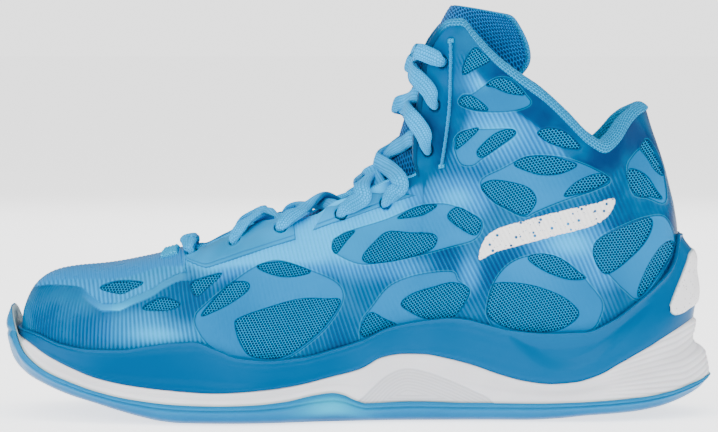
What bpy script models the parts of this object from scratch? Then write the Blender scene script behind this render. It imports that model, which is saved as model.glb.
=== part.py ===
"""Left basketball high top, about EU 42.5, built from its separate pieces.

Toe points to -X, heel to +X, the outer (lateral) side faces -Y, +Z is up.
The shoe stands on z = 0 with its bounding box centred over the origin.
All driving dimensions are in millimetres and are turned into metres in make().
"""
import math

import bmesh
import bpy
import numpy as np
from mathutils import Matrix, Vector

MM = 0.001
HALF = 152.0          # half of the overall length
COLUMNS = 40          # stations along one side, toe tip to heel back
ARC = 355.0           # nominal arc length of one side, used to place features
GAP = 0.3             # clearance between stacked layers
OUTSOLE_T = 4.2
BOARD_T = 1.2
SOCK_T = 5.0
FILM = (0.0, 0.7)     # depth below the outer surface, start and end
MESH = (1.0, 1.9)
PAD_START = 2.2
LINING_T = 0.8
STAY = (-1.3, -0.3)
BAND = 5.5            # light collar band, measured down from the top edge
STAY_W = 17.0         # width of the eyestay overlay
EYELET_R = 3.1
LACE_W = 6.4
LACE_T = 2.3
TONGUE_PIVOT = (-75.8, 0.0, 62.2)     # sewn base of the tongue, axis along Y
SOCK_PIVOT = (-139.2, 0.0, 30.0)     # toe end of the sockliner, axis along Y

HALF_WIDTH = [(-152, 57), (-130, 57.8), (-110, 58.4), (-85, 57.6), (-60, 55.1),
              (-40, 51.1), (-10, 42.1), (20, 38.0), (50, 39.3), (80, 44.6),
              (110, 50.6), (130, 49.9), (152, 45)]
CENTRE = [(-152, 7), (-130, 4.5), (-110, 3), (-85, 1.5), (-60, -1), (-40, -2.2),
          (-10, -2), (20, -1.2), (50, -0.3), (80, 0.8), (110, 2), (130, 2.5), (152, 2.5)]
BOTTOM = [(-152, 25), (-146, 19.5), (-134, 14.3), (-121, 10), (-111, 7.5), (-100, 4.5),
          (-92, 2.5), (-82, 0.6), (-74, 0), (70, 0), (84, 0.6), (96, 1.8), (116, 3),
          (127, 4.5), (137, 7.2), (146, 10.8), (152, 15.5)]
OUTSOLE_TOP = [(-152, 48), (-149.5, 46), (-147.5, 40), (-145.5, 34), (-143, 28.6),
               (-139.3, 24.8), (-132, 20.2), (-121, 16.2), (-110, 12.9), (-94.6, 9.9),
               (-75, 8.1), (-60, 7.8), (-45.6, 8.1), (-30.5, 9.4), (-17.6, 11.9),
               (-10.8, 12.6), (-6, 11.6), (-1.7, 9.5), (3.4, 7.8), (23, 8.3), (44, 7.7),
               (75, 7.5), (91, 7.9), (106, 8.7), (122, 9.8), (132, 11.4), (143, 14.4),
               (151, 16.9)]
RAND_LINE = [(-147, 35), (-140.6, 31.8), (-132, 26.9), (-121, 22.1), (-110, 18.3),
             (-97, 15.8), (-81, 14.1), (-60, 13.0), (-40, 14.1), (-26, 15.8),
             (-10.8, 19.2), (1, 22.2), (10.8, 27.1), (19.4, 28.3), (27.5, 28.1),
             (37, 26.4), (48, 23.5), (60, 19.3), (71, 16.5), (81, 15.4), (91, 16.1),
             (101, 18.9), (111, 24.1), (122, 29.7), (132, 35.2), (141.5, 40.3), (144, 41.5)]
RAND_TOP = [(-146, 37), (-137.6, 35.6), (-125.6, 31.6), (-112.7, 30), (-99, 30.3),
            (-88, 32.1), (-76, 33.7), (-68, 34.1), (-59, 31), (-50, 27.6), (-37, 26.4),
            (-23, 27.5), (-11, 30.4), (1, 34.1), (13, 39.5), (26.5, 42), (39, 43.2),
            (46, 42.5), (54, 40.4), (65, 37.8), (80, 36.7), (96, 37.2), (106, 41.1),
            (116.5, 47.9), (127, 56.6), (134, 66), (137.5, 77)]
FOOTBED = [(-145, 31.5), (-130, 28), (-100, 23), (-60, 19), (-30, 18.8), (0, 21.5),
           (40, 26), (80, 29.5), (110, 31), (145, 32)]
RIM_IN = [(0, 7.4), (40, 7.0), (118, 6.5), (200, 6.5), (280, 8), (320, 12), (355, 15)]
# Top rail of the upper: arc position, x, half-width from the centre line, z.
TOP = [(0, -116, 0, 62.2), (30, -112.5, 0, 62.9), (50, -107, 0, 63.5), (67, -100, 0, 64.7),
       (82, -91, 0, 66.6), (95, -82, 0, 69.0), (104, -74, 0, 71.0), (109, -72.3, 6, 70.8),
       (115, -67, 12.5, 71.0), (123, -57.5, 17.5, 75.2), (133, -46, 20, 81),
       (146, -33, 22, 84.4), (155, -24, 23, 84.8), (162, -17.5, 23.5, 86.4),
       (170, -10, 24.2, 91.6), (179, 0, 25, 94.6), (186, 7, 25.6, 97.8),
       (192, 14, 26.4, 100.6), (197, 20, 27, 101.4), (201, 25, 27.8, 104),
       (205, 23.6, 28, 110), (209, 24, 28, 119), (213, 25.4, 28, 130.4),
       (217, 27, 28.3, 143), (221, 28.8, 28.8, 154), (225, 32.5, 29.8, 161.5),
       (229, 38, 31.6, 167), (233, 43, 33.2, 167.4), (238, 48.5, 34.6, 161.6),
       (245, 57, 36.1, 152.4), (253, 68, 37.5, 143.8), (262, 78, 38.5, 136.8),
       (271, 88, 38.5, 127.6), (281, 97, 36.8, 119.2), (292, 104, 33.5, 115.6),
       (302, 109.5, 28.5, 119.6), (312, 114, 22.5, 126.0), (322, 118, 17, 129.6),
       (335, 121.5, 10, 131), (345, 122.8, 5, 131.4), (355, 123.3, 0, 131.5)]
ENTRY = [(165, -70), (186, -66), (197, -54), (201, -38), (205, -26), (209, -22), (213, -24),
         (217, -30), (221, -40), (225, -54), (229, -70), (233, -82), (238, -90),
         (245, -97), (262, -104), (281, -106), (292, -101), (302, -92), (312, -74),
         (322, -60), (335, -70), (355, -82)]
ENTRY_L = [(165, 14), (201, 9), (205, 11), (209, 14), (213, 17), (217, 20), (221, 24),
           (229, 32), (238, 34), (262, 34), (302, 26), (355, 34)]
BULGE = [(0, 0), (90, 0.5), (150, 2.5), (190, 3.5), (220, 2.5), (260, 1.5), (300, 3),
         (325, 3.2), (355, 2.8)]
EYELETS = [(110.5, 11.5), (128, 12.0), (147, 10.5), (172.5, 8.0), (189, 8.5), (209.6, 9.0),
           (215.8, 9.0), (223.0, 9.0)]

COLOURS = {
    "outsole": ((0.06, 0.40, 0.66), 0.35), "white": ((0.80, 0.80, 0.81), 0.6),
    "rand": ((0.0, 0.17, 0.47), 0.35), "film": ((0.01, 0.28, 0.62), 0.3),
    "toe": ((0.0, 0.16, 0.46), 0.25), "mesh": ((0.01, 0.09, 0.25), 0.8),
    "lace": ((0.10, 0.50, 0.80), 0.8), "stay": ((0.16, 0.58, 0.87), 0.35),
    "foam": ((0.75, 0.76, 0.72), 0.9), "lining": ((0.03, 0.28, 0.55), 0.9),
    "collar": ((0.12, 0.55, 0.80), 0.9), "board": ((0.85, 0.84, 0.80), 0.9),
    "shank": ((0.03, 0.03, 0.035), 0.4), "stiff": ((0.7, 0.7, 0.66), 0.7),
}


def pchip(keys, x):
    """Smooth monotone curve through hand-chosen (x, value) pairs."""
    k = np.array(keys, float)
    xs, ys = k[:, 0], k[:, 1]
    h = np.diff(xs)
    d = np.diff(ys) / h
    m = np.zeros(len(xs))
    m[0], m[-1] = d[0], d[-1]
    for i in range(1, len(xs) - 1):
        if d[i - 1] * d[i] > 0:
            w1, w2 = 2 * h[i] + h[i - 1], h[i] + 2 * h[i - 1]
            m[i] = (w1 + w2) / (w1 / d[i - 1] + w2 / d[i])
    x = np.clip(np.asarray(x, float), xs[0], xs[-1])
    i = np.clip(np.searchsorted(xs, x) - 1, 0, len(xs) - 2)
    t = (x - xs[i]) / h[i]
    a = ys[i] * (1 + 2 * t) * (1 - t) ** 2 + m[i] * h[i] * t * (1 - t) ** 2
    return a + ys[i + 1] * t * t * (3 - 2 * t) + m[i + 1] * h[i] * t * t * (t - 1)


def outline(theta):
    """Plan outline at full width; theta runs toe tip, lateral, heel, medial."""
    x = -HALF * np.cos(theta)
    s = np.sin(theta)
    y = pchip(CENTRE, x) - np.sign(s) * pchip(HALF_WIDTH, x) * np.abs(s) ** 0.7
    return x, y


def stations():
    th = np.linspace(0, math.pi, 6001)
    xa, ya = outline(th)
    xb, yb = outline(-th)
    step = 0.5 * (np.hypot(np.diff(xa), np.diff(ya)) + np.hypot(np.diff(xb), np.diff(yb)))
    arc = np.concatenate([[0], np.cumsum(step)])
    arc = arc * ARC / arc[-1]
    mid = 0.5 * (arc[1:] + arc[:-1])
    density = 1 + 1.2 / (1 + ((mid - 213) / 22) ** 4) + 0.35 / (1 + (mid / 22) ** 4)
    cum = np.concatenate([[0], np.cumsum(density * np.diff(arc))])
    want = np.linspace(0, cum[-1], COLUMNS + 1)
    t = np.interp(want, cum, th)
    return t, np.interp(t, th, arc)


TH1, S1 = stations()
N = 2 * COLUMNS
THETA = np.concatenate([TH1, 2 * math.pi - TH1[1:-1][::-1]])
SS = np.concatenate([S1, S1[1:-1][::-1]])
SIDE = np.where(np.arange(N) <= COLUMNS, -1.0, 1.0)
SIDE[0] = 0.0
SIDE[COLUMNS] = 0.0
PX, PY = outline(THETA)
_xa, _ya = outline(THETA + 0.004)
_xb, _yb = outline(THETA - 0.004)
_tl = np.hypot(_xa - _xb, _ya - _yb)
NX, NY = (_ya - _yb) / _tl, -(_xa - _xb) / _tl


def rail(d, z):
    """Plan outline moved inwards by d (a number, array or arc keys), at height z."""
    if isinstance(d, list):
        d = pchip(d, SS)
    x = PX - NX * d
    y = PY - NY * d
    z = pchip(z, x) if isinstance(z, list) else np.broadcast_to(z, x.shape)
    return np.stack([x, y, z], 1)


def spine(z, k=0.82):
    x = PX * k
    zz = pchip(z, x) if isinstance(z, list) else z
    return np.stack([x, pchip(CENTRE, x), np.broadcast_to(zz, x.shape)], 1)


def half_plan(x, z):
    """Half-width of the ankle part of the upper at x and height z."""
    th = np.arccos(np.clip(-x / HALF, -1, 1))
    low = pchip(HALF_WIDTH, x) * np.sin(th) ** 0.7 - pchip(RIM_IN, x + 180)
    high = pchip([(7, 25.6), (14, 26.4), (20, 27), (25, 28), (32, 29.6), (38, 31.6),
                  (43, 33.2), (57, 36.1), (68, 37.5), (78, 38.5), (88, 38.5),
                  (97, 36.8), (104, 33.5), (110, 28)], x)
    f = np.clip((z - 30) / 80, 0, 1)
    f = f * f * (3 - 2 * f)
    return low + (high - low) * f + 1.5 * np.sin(np.pi * np.clip((z - 30) / 90, 0, 1))


def top_point(s, side):
    t = np.array(TOP, float)
    x = pchip(t[:, (0, 1)], s)
    z = pchip(t[:, (0, 3)], s)
    return np.stack([x, pchip(CENTRE, x) + side * pchip(t[:, (0, 2)], s), z], -1)


def foot_rail():
    r = rail(RIM_IN, FOOTBED)
    r[:, 2] += 1.0
    return r


def column(s, side, foot, nrm, v):
    """Points of one column of the upper, v = 0 at the foot rail, 1 at the top."""
    top = top_point(s, side)
    e = pchip([(0, 0.72), (60, 0.76), (110, 0.86), (200, 0.9)], s)
    h = 1 - np.cos(v * math.pi / 2) ** e
    g = np.sin(v * math.pi / 2) ** e
    a = np.stack([foot[0] + (top[0] - foot[0]) * h, foot[1] + (top[1] - foot[1]) * h,
                  foot[2] + (top[2] - foot[2]) * g], 1)
    bulge = pchip(BULGE, s) * np.sin(math.pi * v ** 0.85)
    a[:, 0] += nrm[0] * bulge
    a[:, 1] += nrm[1] * bulge
    k = float(np.clip((s - 160) / 38, 0, 1))
    k = k * k * (3 - 2 * k)
    if k == 0:
        return a
    ang = math.radians(float(pchip(ENTRY, s)))
    ln = float(pchip(ENTRY_L, s))
    rise = top[2] - foot[2]
    p0, p3 = top, foot
    p1 = top + np.array([math.cos(ang) * ln, 0, math.sin(ang) * ln])
    p2 = foot + np.array([0, 0, 0.38 * rise])
    w = (1 - v)[:, None]
    b = (p0 * (1 - w) ** 3 + 3 * p1 * w * (1 - w) ** 2 + 3 * p2 * w * w * (1 - w)
         + p3 * w ** 3)
    b[:, 0] += nrm[0] * bulge
    b[:, 1] += nrm[1] * bulge
    graph = side * half_plan(b[:, 0], b[:, 2]) + pchip(CENTRE, b[:, 0])
    r = float(np.clip((s - 258) / 40, 0, 1))
    r = 1 - r * r * (3 - 2 * r)
    low = np.clip((b[:, 2] - foot[2]) / 12, 0, 1)
    b[:, 1] += (graph - b[:, 1]) * r * low
    return a * (1 - k) + b * k


def upper_grid():
    foot = foot_rail()
    v = np.linspace(0, 1, 101)
    rows = []
    for i in range(N):
        c = column(SS[i], SIDE[i], foot[i], (NX[i], NY[i]), v)
        run = np.concatenate([[0], np.cumsum(np.linalg.norm(np.diff(c, axis=0), axis=1))])
        total = run[-1]
        rest = total - STAY_W
        want = [rest * j / 6 for j in range(7)] + [total - BAND, total]
        rows.append([[np.interp(w, run, c[:, k]) for k in range(3)] for w in want])
    return np.array(rows)


def weld(points, faces):
    """Join equal points; drop faces that collapse."""
    key, out, index = {}, [], []
    for p in points:
        k = (round(p[0], 3), round(p[1], 3), round(p[2], 3))
        if k not in key:
            key[k] = len(out)
            out.append(p)
        index.append(key[k])
    done = []
    for f in faces:
        g = []
        for i in f:
            j = index[i]
            if not g or (g[-1] != j and g[0] != j):
                g.append(j)
        if len(set(g)) >= 3:
            done.append(tuple(g))
    return out, done, index


def material(kind):
    name = "cad_" + kind
    if name in bpy.data.materials:
        return bpy.data.materials[name]
    rgb, rough = COLOURS[kind]
    m = bpy.data.materials.new(name)
    m.use_nodes = True
    b = m.node_tree.nodes["Principled BSDF"]
    b.inputs["Base Color"].default_value = (*rgb, 1)
    b.inputs["Roughness"].default_value = rough
    b.inputs["Metallic"].default_value = 0.0
    m.diffuse_color = (*rgb, 1)
    return m


def make(name, points, faces, kind, angle=35):
    pts, fcs, _ = weld(points, faces)
    me = bpy.data.meshes.new(name)
    me.from_pydata([tuple(float(c) * MM for c in p) for p in pts], [], fcs)
    bm = bmesh.new()
    bm.from_mesh(me)
    bmesh.ops.triangulate(bm, faces=[f for f in bm.faces if len(f.verts) > 4])
    bmesh.ops.recalc_face_normals(bm, faces=bm.faces)
    bm.to_mesh(me)
    bm.free()
    me.validate()
    me.shade_smooth()
    me.set_sharp_from_angle(angle=math.radians(angle))
    me.materials.append(material(kind))
    ob = bpy.data.objects.new(name, me)
    bpy.context.scene.collection.objects.link(ob)
    return ob


def straight(i):
    """Which diagonal splits the cells of station i, the same in every layer."""
    return (i < COLUMNS) == (COLUMNS // 2 <= i < COLUMNS + COLUMNS // 2)


def revolve(rails, closed):
    """Skin a list of rails all round the shoe; closed joins last rail to first."""
    pts = np.concatenate(rails)
    faces = []
    m = len(rails)
    for r in range(m if closed else m - 1):
        for i in range(N):
            a, b = r * N + i, r * N + (i + 1) % N
            q = (r + 1) % m
            c, d = q * N + (i + 1) % N, q * N + i
            ac = straight(i) != (r == 0 and not closed)
            faces += [(a, b, c), (a, c, d)] if ac else [(a, b, d), (b, c, d)]
    return list(pts), faces


def at_height(grid, z):
    """Plan position of the upper's outer surface at height z, per station."""
    out = []
    for i in range(N):
        c = grid[i]
        top = int(np.argmax(c[:, 2]))
        zz = min(max(z[i], c[0, 2]), c[top, 2])
        out.append([np.interp(zz, c[:top + 1, 2], c[:top + 1, 0]),
                    np.interp(zz, c[:top + 1, 2], c[:top + 1, 1])])
    return np.array(out)


def near_upper(grid, z, off):
    xy = at_height(grid, z)
    return np.stack([xy[:, 0] + NX * off, xy[:, 1] + NY * off, z], 1)


def build_outsole():
    lip = pchip([(0, 2.6), (16, 2.2), (27, 1.0), (45, 0.8), (355, 0.8)], SS)
    ground = rail([(0, 8.5), (30, 7.5), (60, 6.5), (355, 6.5)], BOTTOM)
    low = rail(1.5, BOTTOM)
    edge = rail(lip, OUTSOLE_TOP)
    low[:, 2] += 0.45 * (np.minimum(edge[:, 2], low[:, 2] + 14) - low[:, 2])
    mid = rail(0.3 * np.ones(N), BOTTOM)
    mid[:, 2] += 0.72 * (np.minimum(edge[:, 2], mid[:, 2] + 20) - mid[:, 2])
    inner = rail(lip + 1.7, OUTSOLE_TOP)
    corner = rail(np.maximum(4.5, lip + 1.9), BOTTOM)
    corner[:, 2] += OUTSOLE_T
    flat = spine(BOTTOM)
    up = flat.copy()
    up[:, 2] += OUTSOLE_T
    pts, fcs = revolve([flat, ground, low, mid, edge, inner, corner, up], False)
    return make("outsole", pts, fcs, "outsole"), lip


def build_midsole(grid, lip):
    m1 = rail(np.maximum(4.85, lip + 2.3), BOTTOM)
    m1[:, 2] += OUTSOLE_T + GAP
    m2 = rail(lip + 1.7 + 0.35, OUTSOLE_TOP)
    rand = rail([(0, 5.4), (30, 4.6), (45, 3.4), (120, 3.2), (230, 3.4), (300, 5.0),
                 (355, 7.6)], RAND_LINE)
    rand[:, 2] -= 0.1
    m2[:, 2] = np.maximum(np.minimum(m2[:, 2] + GAP, rand[:, 2] - 1.2), m1[:, 2] + 0.4)
    out = np.where(SS < 41, lip + 2.05, 1.0)
    m3 = rail(out, OUTSOLE_TOP)
    m3[:, 2] = np.where(SS < 41, m2[:, 2] + 0.01, m3[:, 2] + GAP)
    base, span = m3[:, 2], rand[:, 2] - m3[:, 2]
    d4 = np.maximum(pchip([(0, 4.8), (45, 1.6), (230, 1.4), (300, 1.8), (355, 3.0)], SS), out)
    m4 = rail(d4, base + 0.38 * span)
    d5 = np.maximum(pchip([(0, 5.0), (45, 2.4), (230, 2.3), (300, 4.2), (355, 8.0)], SS), out)
    m5 = rail(d5, base + 0.6 * span)
    shelf = near_upper(grid, rand[:, 2], 0.35)
    foot = foot_rail()
    wall = np.stack([foot[:, 0] + NX * 0.35, foot[:, 1] + NY * 0.35, foot[:, 2] - 1.0], 1)
    bed = spine(FOOTBED, 0.8)
    under = spine(BOTTOM)
    under[:, 2] += OUTSOLE_T + GAP
    pts, fcs = revolve([under, m1, m2, m3, m4, m5, rand, shelf, wall, bed], False)
    return make("midsole", pts, fcs, "white")


def cage_rails(grid):
    d_low = [(0, 5.4), (30, 4.7), (45, 3.5), (120, 3.2), (230, 3.4), (300, 5.2), (355, 8.0)]
    r0 = rail(d_low, RAND_LINE)
    r0[:, 2] += GAP
    probe = rail([(0, 6), (45, 5), (230, 5), (300, 7), (355, 13)], RAND_TOP)
    z4 = probe[:, 2]
    z0 = r0[:, 2]
    lows = pchip([(0, 5.4), (45, 3.9), (230, 3.4), (300, 5.2), (355, 6.1)], SS)
    tops = pchip([(0, 5.6), (45, 4.6), (230, 4.2), (300, 6.2), (355, 8.4)], SS)
    outer = [r0]
    for f, d in ((0.28, lows), (0.55, 0.5 * (lows + tops)), (0.8, tops)):
        z = z0 + f * (z4 - z0)
        a = rail(d, z)
        b = near_upper(grid, z, 1.9)
        out_a = a[:, 0] * NX + a[:, 1] * NY
        out_b = b[:, 0] * NX + b[:, 1] * NY
        outer.append(np.where((out_a > out_b)[:, None], a, b))
    outer.append(near_upper(grid, z4, 1.7))
    inner = [near_upper(grid, z4, 0.5), near_upper(grid, z0 + 0.8 * (z4 - z0), 0.5),
             near_upper(grid, z0 + 0.5 * (z4 - z0), 0.55), near_upper(grid, z0, 0.65)]
    inner[-1][:, 2] = z0
    return outer, inner


def build_cage(grid):
    outer, inner = cage_rails(grid)
    first, last = COLUMNS - 3, COLUMNS + 3
    insert_out = [r.copy() for r in outer[1:4]]
    for r in outer[1:4]:
        for i in range(first, last + 1):
            r[i, 0] -= NX[i] * 2.0
            r[i, 1] -= NY[i] * 2.0
    pts, fcs = revolve(outer + inner, True)
    cage = make("midsole_cage", pts, fcs, "rand")
    ids = list(range(first, last + 1))
    pts, faces = [], []
    n = len(ids)
    for depth in (0.0, 1.6):
        for r in insert_out:
            for i in ids:
                pts.append([r[i, 0] - NX[i] * depth, r[i, 1] - NY[i] * depth, r[i, 2]])
    for e in (0, n - 1):
        for layer in (0, 3 * n):
            low, top, mid = layer + e, layer + 2 * n + e, layer + n + e
            for k in range(3):
                a, c, m = pts[low][k], pts[top][k], pts[mid][k]
                pts[low][k] = m + (a - m) * 0.8
                pts[top][k] = m + (c - m) * 0.45
    for layer in (0, 3 * n):
        for r in range(2):
            for k in range(n - 1):
                a = layer + r * n + k
                faces.append((a, a + 1, a + n + 1, a + n))
    ring = [k for k in range(n)] + [n + n - 1, 3 * n - 1]
    ring += [2 * n + k for k in range(n - 2, -1, -1)] + [n]
    for k, a in enumerate(ring):
        b = ring[(k + 1) % len(ring)]
        faces.append((a, b, b + 3 * n, a + 3 * n))
    make("heel_insert", pts, faces, "white")
    return cage


def plate(name, inset, lift, thick, kind):
    keys = [(s, d + inset) for s, d in RIM_IN]
    low = rail(keys, FOOTBED)
    low[:, 2] += lift
    top = low.copy()
    top[:, 2] += thick
    a = spine(FOOTBED, 0.78)
    a[:, 2] += lift
    b = a.copy()
    b[:, 2] += thick
    pts, fcs = revolve([a, low, top, b], False)
    return make(name, pts, fcs, kind)


def prism(name, plan, z0, z1, kind):
    """Closed prism over a plan polygon given in order; z0 and z1 may vary by x."""
    n = len(plan)
    pts = [(x, y, z0(x)) for x, y in plan] + [(x, y, z1(x)) for x, y in plan]
    faces = [(i, (i + 1) % n, n + (i + 1) % n, n + i) for i in range(n)]
    mid = (sum(p[0] for p in plan) / n, sum(p[1] for p in plan) / n)
    pts += [(mid[0], mid[1], z0(mid[0])), (mid[0], mid[1], z1(mid[0]))]
    for i in range(n):
        j = (i + 1) % n
        faces.append((2 * n, j, i))
        faces.append((2 * n + 1, n + i, n + j))
    return make(name, pts, faces, kind)


def oval(cx, cy, a, b, n=20, power=0.8, skew=0.0):
    out = []
    for k in range(n):
        t = 2 * math.pi * k / n
        c, s = math.cos(t), math.sin(t)
        x = a * math.copysign(abs(c) ** power, c)
        y = b * math.copysign(abs(s) ** power, s)
        out.append((cx + x, cy + y + skew * x))
    return out


def cut(target, cutter, solver="EXACT"):
    cutter.hide_render = True
    cutter.display_type = "WIRE"
    m = target.modifiers.new("cut_" + cutter.name, "BOOLEAN")
    m.operation = "DIFFERENCE"
    m.solver = solver
    m.object = cutter


def bake(ob, cutters, solver="EXACT"):
    """Apply the cuts so each piece stands alone, then drop the cutters."""
    for c in cutters:
        cut(ob, c, solver)
    dg = bpy.context.evaluated_depsgraph_get()
    me = bpy.data.meshes.new_from_object(ob.evaluated_get(dg))
    ob.modifiers.clear()
    old = ob.data
    ob.data = me
    bpy.data.meshes.remove(old)


def build_core(midsole):
    """Cushioning units and shank, each in its own recess of the midsole."""
    def bed(x):
        return float(pchip(FOOTBED, x))

    heel, fore, shank = (102, 2), (-72, -0.5), (18, -1)
    cutters = [
        prism("cut_heel", oval(*heel, 30, 20), lambda x: 20.0, lambda x: 40.0, "white"),
        prism("cut_fore", oval(*fore, 30, 29), lambda x: 12.6, lambda x: 40.0, "white"),
        prism("cut_shank", oval(*shank, 46, 17, 20, 0.6), lambda x: -5.0,
              lambda x: 7.6, "white"),
    ]
    bake(midsole, cutters)
    for c in cutters:
        bpy.data.objects.remove(c)
    prism("heel_cushion", oval(*heel, 29.6, 19.6), lambda x: 20.4,
          lambda x: bed(x) - 0.5, "foam")
    prism("forefoot_cushion", oval(*fore, 29.6, 28.6), lambda x: 13.0,
          lambda x: bed(x) - 0.4, "foam")
    prism("shank_plate", oval(*shank, 45.6, 16.6, 20, 0.6), lambda x: 4.6,
          lambda x: 7.2, "shank")


def grid_normals(grid):
    """Averaged outward normals of the grid, shared where points coincide."""
    rows = grid.shape[1]
    pts = grid.reshape(-1, 3)
    faces = []
    for i in range(N):
        j = (i + 1) % N
        for r in range(rows - 1):
            faces.append((i * rows + r, j * rows + r, j * rows + r + 1, i * rows + r + 1))
    keyed, fcs, index = weld(list(pts), faces)
    p = np.array(keyed)
    nr = np.zeros_like(p)
    for f in fcs:
        q = p[list(f)]
        area = np.zeros(3)
        for a in range(1, len(f) - 1):
            area += np.cross(q[a] - q[0], q[a + 1] - q[0])
        for a in f:
            nr[a] += area
    nr /= np.linalg.norm(nr, axis=1)[:, None] + 1e-12
    full = nr[index].reshape(grid.shape)
    for i in range(N):
        if SIDE[i]:
            full[i, 0, 2] *= 0.2
            full[i, 0] /= np.linalg.norm(full[i, 0])
    return full


def shell(name, grid, nrm, cells, d_out, d_in, kind, shrink=0.15):
    """Closed sheet over the chosen cells of the grid between two depths."""
    d_out = np.broadcast_to(np.asarray(d_out, float), grid.shape[:2])
    d_in = np.broadcast_to(np.asarray(d_in, float), grid.shape[:2])
    used, faces = {}, []
    surf, depth_o, depth_i, ns = [], [], [], []

    def vid(i, r):
        p = grid[i, r]
        k = (round(p[0], 3), round(p[1], 3), round(p[2], 3))
        if k not in used:
            used[k] = len(surf)
            surf.append(np.array(p))
            ns.append(nrm[i, r])
            depth_o.append(d_out[i, r])
            depth_i.append(d_in[i, r])
        return used[k]

    for i, r in cells:
        j = (i + 1) % N
        q = []
        for a in (vid(i, r), vid(j, r), vid(j, r + 1), vid(i, r + 1)):
            if a not in q:
                q.append(a)
        if len(q) == 4:
            a, b, c, d = q
            faces += [[a, b, c], [a, c, d]] if straight(i) else [[a, b, d], [b, c, d]]
        elif len(q) == 3:
            faces.append(q)
    edges = {}
    for f in faces:
        for k in range(len(f)):
            a, b = f[k], f[(k + 1) % len(f)]
            edges[(a, b)] = edges.get((a, b), 0) + 1
    rim = [(a, b) for (a, b) in edges if (b, a) not in edges]
    surf = np.array(surf)
    if shrink:
        pull = np.zeros_like(surf)
        count = np.zeros(len(surf))
        for f in faces:
            mid = surf[f].mean(axis=0)
            for a in f:
                pull[a] += mid
                count[a] += 1
        for a in {a for e in rim for a in e}:
            d = pull[a] / count[a] - surf[a]
            surf[a] += d / (np.linalg.norm(d) + 1e-9) * shrink
    ns = np.array(ns)
    outer = surf - ns * np.array(depth_o)[:, None]
    inner = surf - ns * np.array(depth_i)[:, None]
    n = len(surf)
    all_faces = [tuple(f) for f in faces]
    all_faces += [tuple(reversed([a + n for a in f])) for f in faces]
    all_faces += [(b, a, a + n, b + n) for a, b in rim]
    return make(name, list(np.concatenate([outer, inner])), all_faces, kind)


def pick(lo, hi, r0, r1, side=None):
    """Grid cells between arc positions lo..hi and rows r0..r1 on one or both sides."""
    out = []
    for i in range(N):
        j = (i + 1) % N
        s = 0.5 * (SS[i] + SS[j])
        sd = -1 if i < COLUMNS else 1
        if lo <= s <= hi and (side is None or sd == side):
            out += [(i, r) for r in range(r0, r1)]
    return out


def pads(grid):
    """Thickness of whatever sits between mesh and lining, per grid point."""
    rows = grid.shape[1]
    t = np.zeros((N, rows))
    for i in range(N):
        seg = np.linalg.norm(np.diff(grid[i], axis=0), axis=1)
        dist = np.concatenate([np.cumsum(seg[::-1])[::-1], [0]])
        big = float(pchip([(222, 0), (232, 1.6), (245, 4.0), (275, 5.8), (300, 6.0),
                           (320, 5.5), (355, 5.0)], SS[i])) if SS[i] > 222 else 0
        for r in range(rows):
            t[i, r] = big * float(pchip([(0, 0.7), (8, 0.9), (20, 1), (32, 0.9), (50, 0.35),
                                         (60, 0)], dist[r]))
            if SS[i] > 286 and r <= 3:
                t[i, r] = max(t[i, r], 1.3)
            if SS[i] < 60 and r <= 6:
                t[i, r] = max(t[i, r], 1.1)
            if SS[i] > 250 and r > 3:
                t[i, r] = max(t[i, r], 0.8)
    return t


def build_binding(grid, nrm, t):
    """Knit collar edge: skirt on the outside, rolled over the top edge."""
    ids = [i for i in range(N) if SS[i] >= 200.5]
    ring = []
    for i in ids:
        top, low = grid[i, -1], grid[i, -2]
        up = (top - low) / np.linalg.norm(top - low)
        n = nrm[i, -1]
        n2 = nrm[i, -2]
        total = PAD_START + GAP + LINING_T + t[i, -1] - 0.05
        low2 = low + up * 0.25
        h = 1.5 + 0.32 * total
        ring.append([low2 - n2 * FILM[1], low2, top,
                     top + up * (0.6 * h) - n * 0.12 * total,
                     top + up * h - n * 0.5 * total,
                     top + up * (0.6 * h) - n * 0.88 * total,
                     top + up * 0.55 - n * total, top + up * 0.4 - n * FILM[1]])
    m = len(ring[0])
    pts = [p for r in ring for p in r]
    faces = []
    for k in range(len(ring) - 1):
        for a in range(m):
            b = (a + 1) % m
            faces.append((k * m + a, k * m + b, (k + 1) * m + b, (k + 1) * m + a))
    e = (len(ring) - 1) * m
    for base, flip in ((0, False), (e, True)):
        caps = [(0, 1, 2, 7), (2, 3, 6, 7), (3, 4, 5, 6)]
        for c in caps:
            c = [base + k for k in c]
            faces.append(tuple(reversed(c)) if flip else tuple(c))
    return make("collar_binding", pts, faces, "collar")


# Tongue: centre line of its outer face, half-width, sweep back at the edge, sweep angle.
TONGUE = [(0.0, -75, 63.6, 18, 4, -88), (0.09, -63, 66.2, 22, 7, -84),
          (0.2, -46, 75.0, 27, 12, -70), (0.33, -25, 83.6, 27, 15, -66),
          (0.44, -8, 90.6, 24.5, 16, -60), (0.53, 4.5, 98.0, 22.5, 17, -48),
          (0.62, 14.0, 109, 22, 19, -30), (0.72, 20.0, 126, 22.5, 23, -16),
          (0.82, 24.5, 143, 24, 32, -12), (0.91, 30.8, 158, 25.5, 44, -8),
          (1.0, 39.6, 174.8, 27, 45, -12)]


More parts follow.
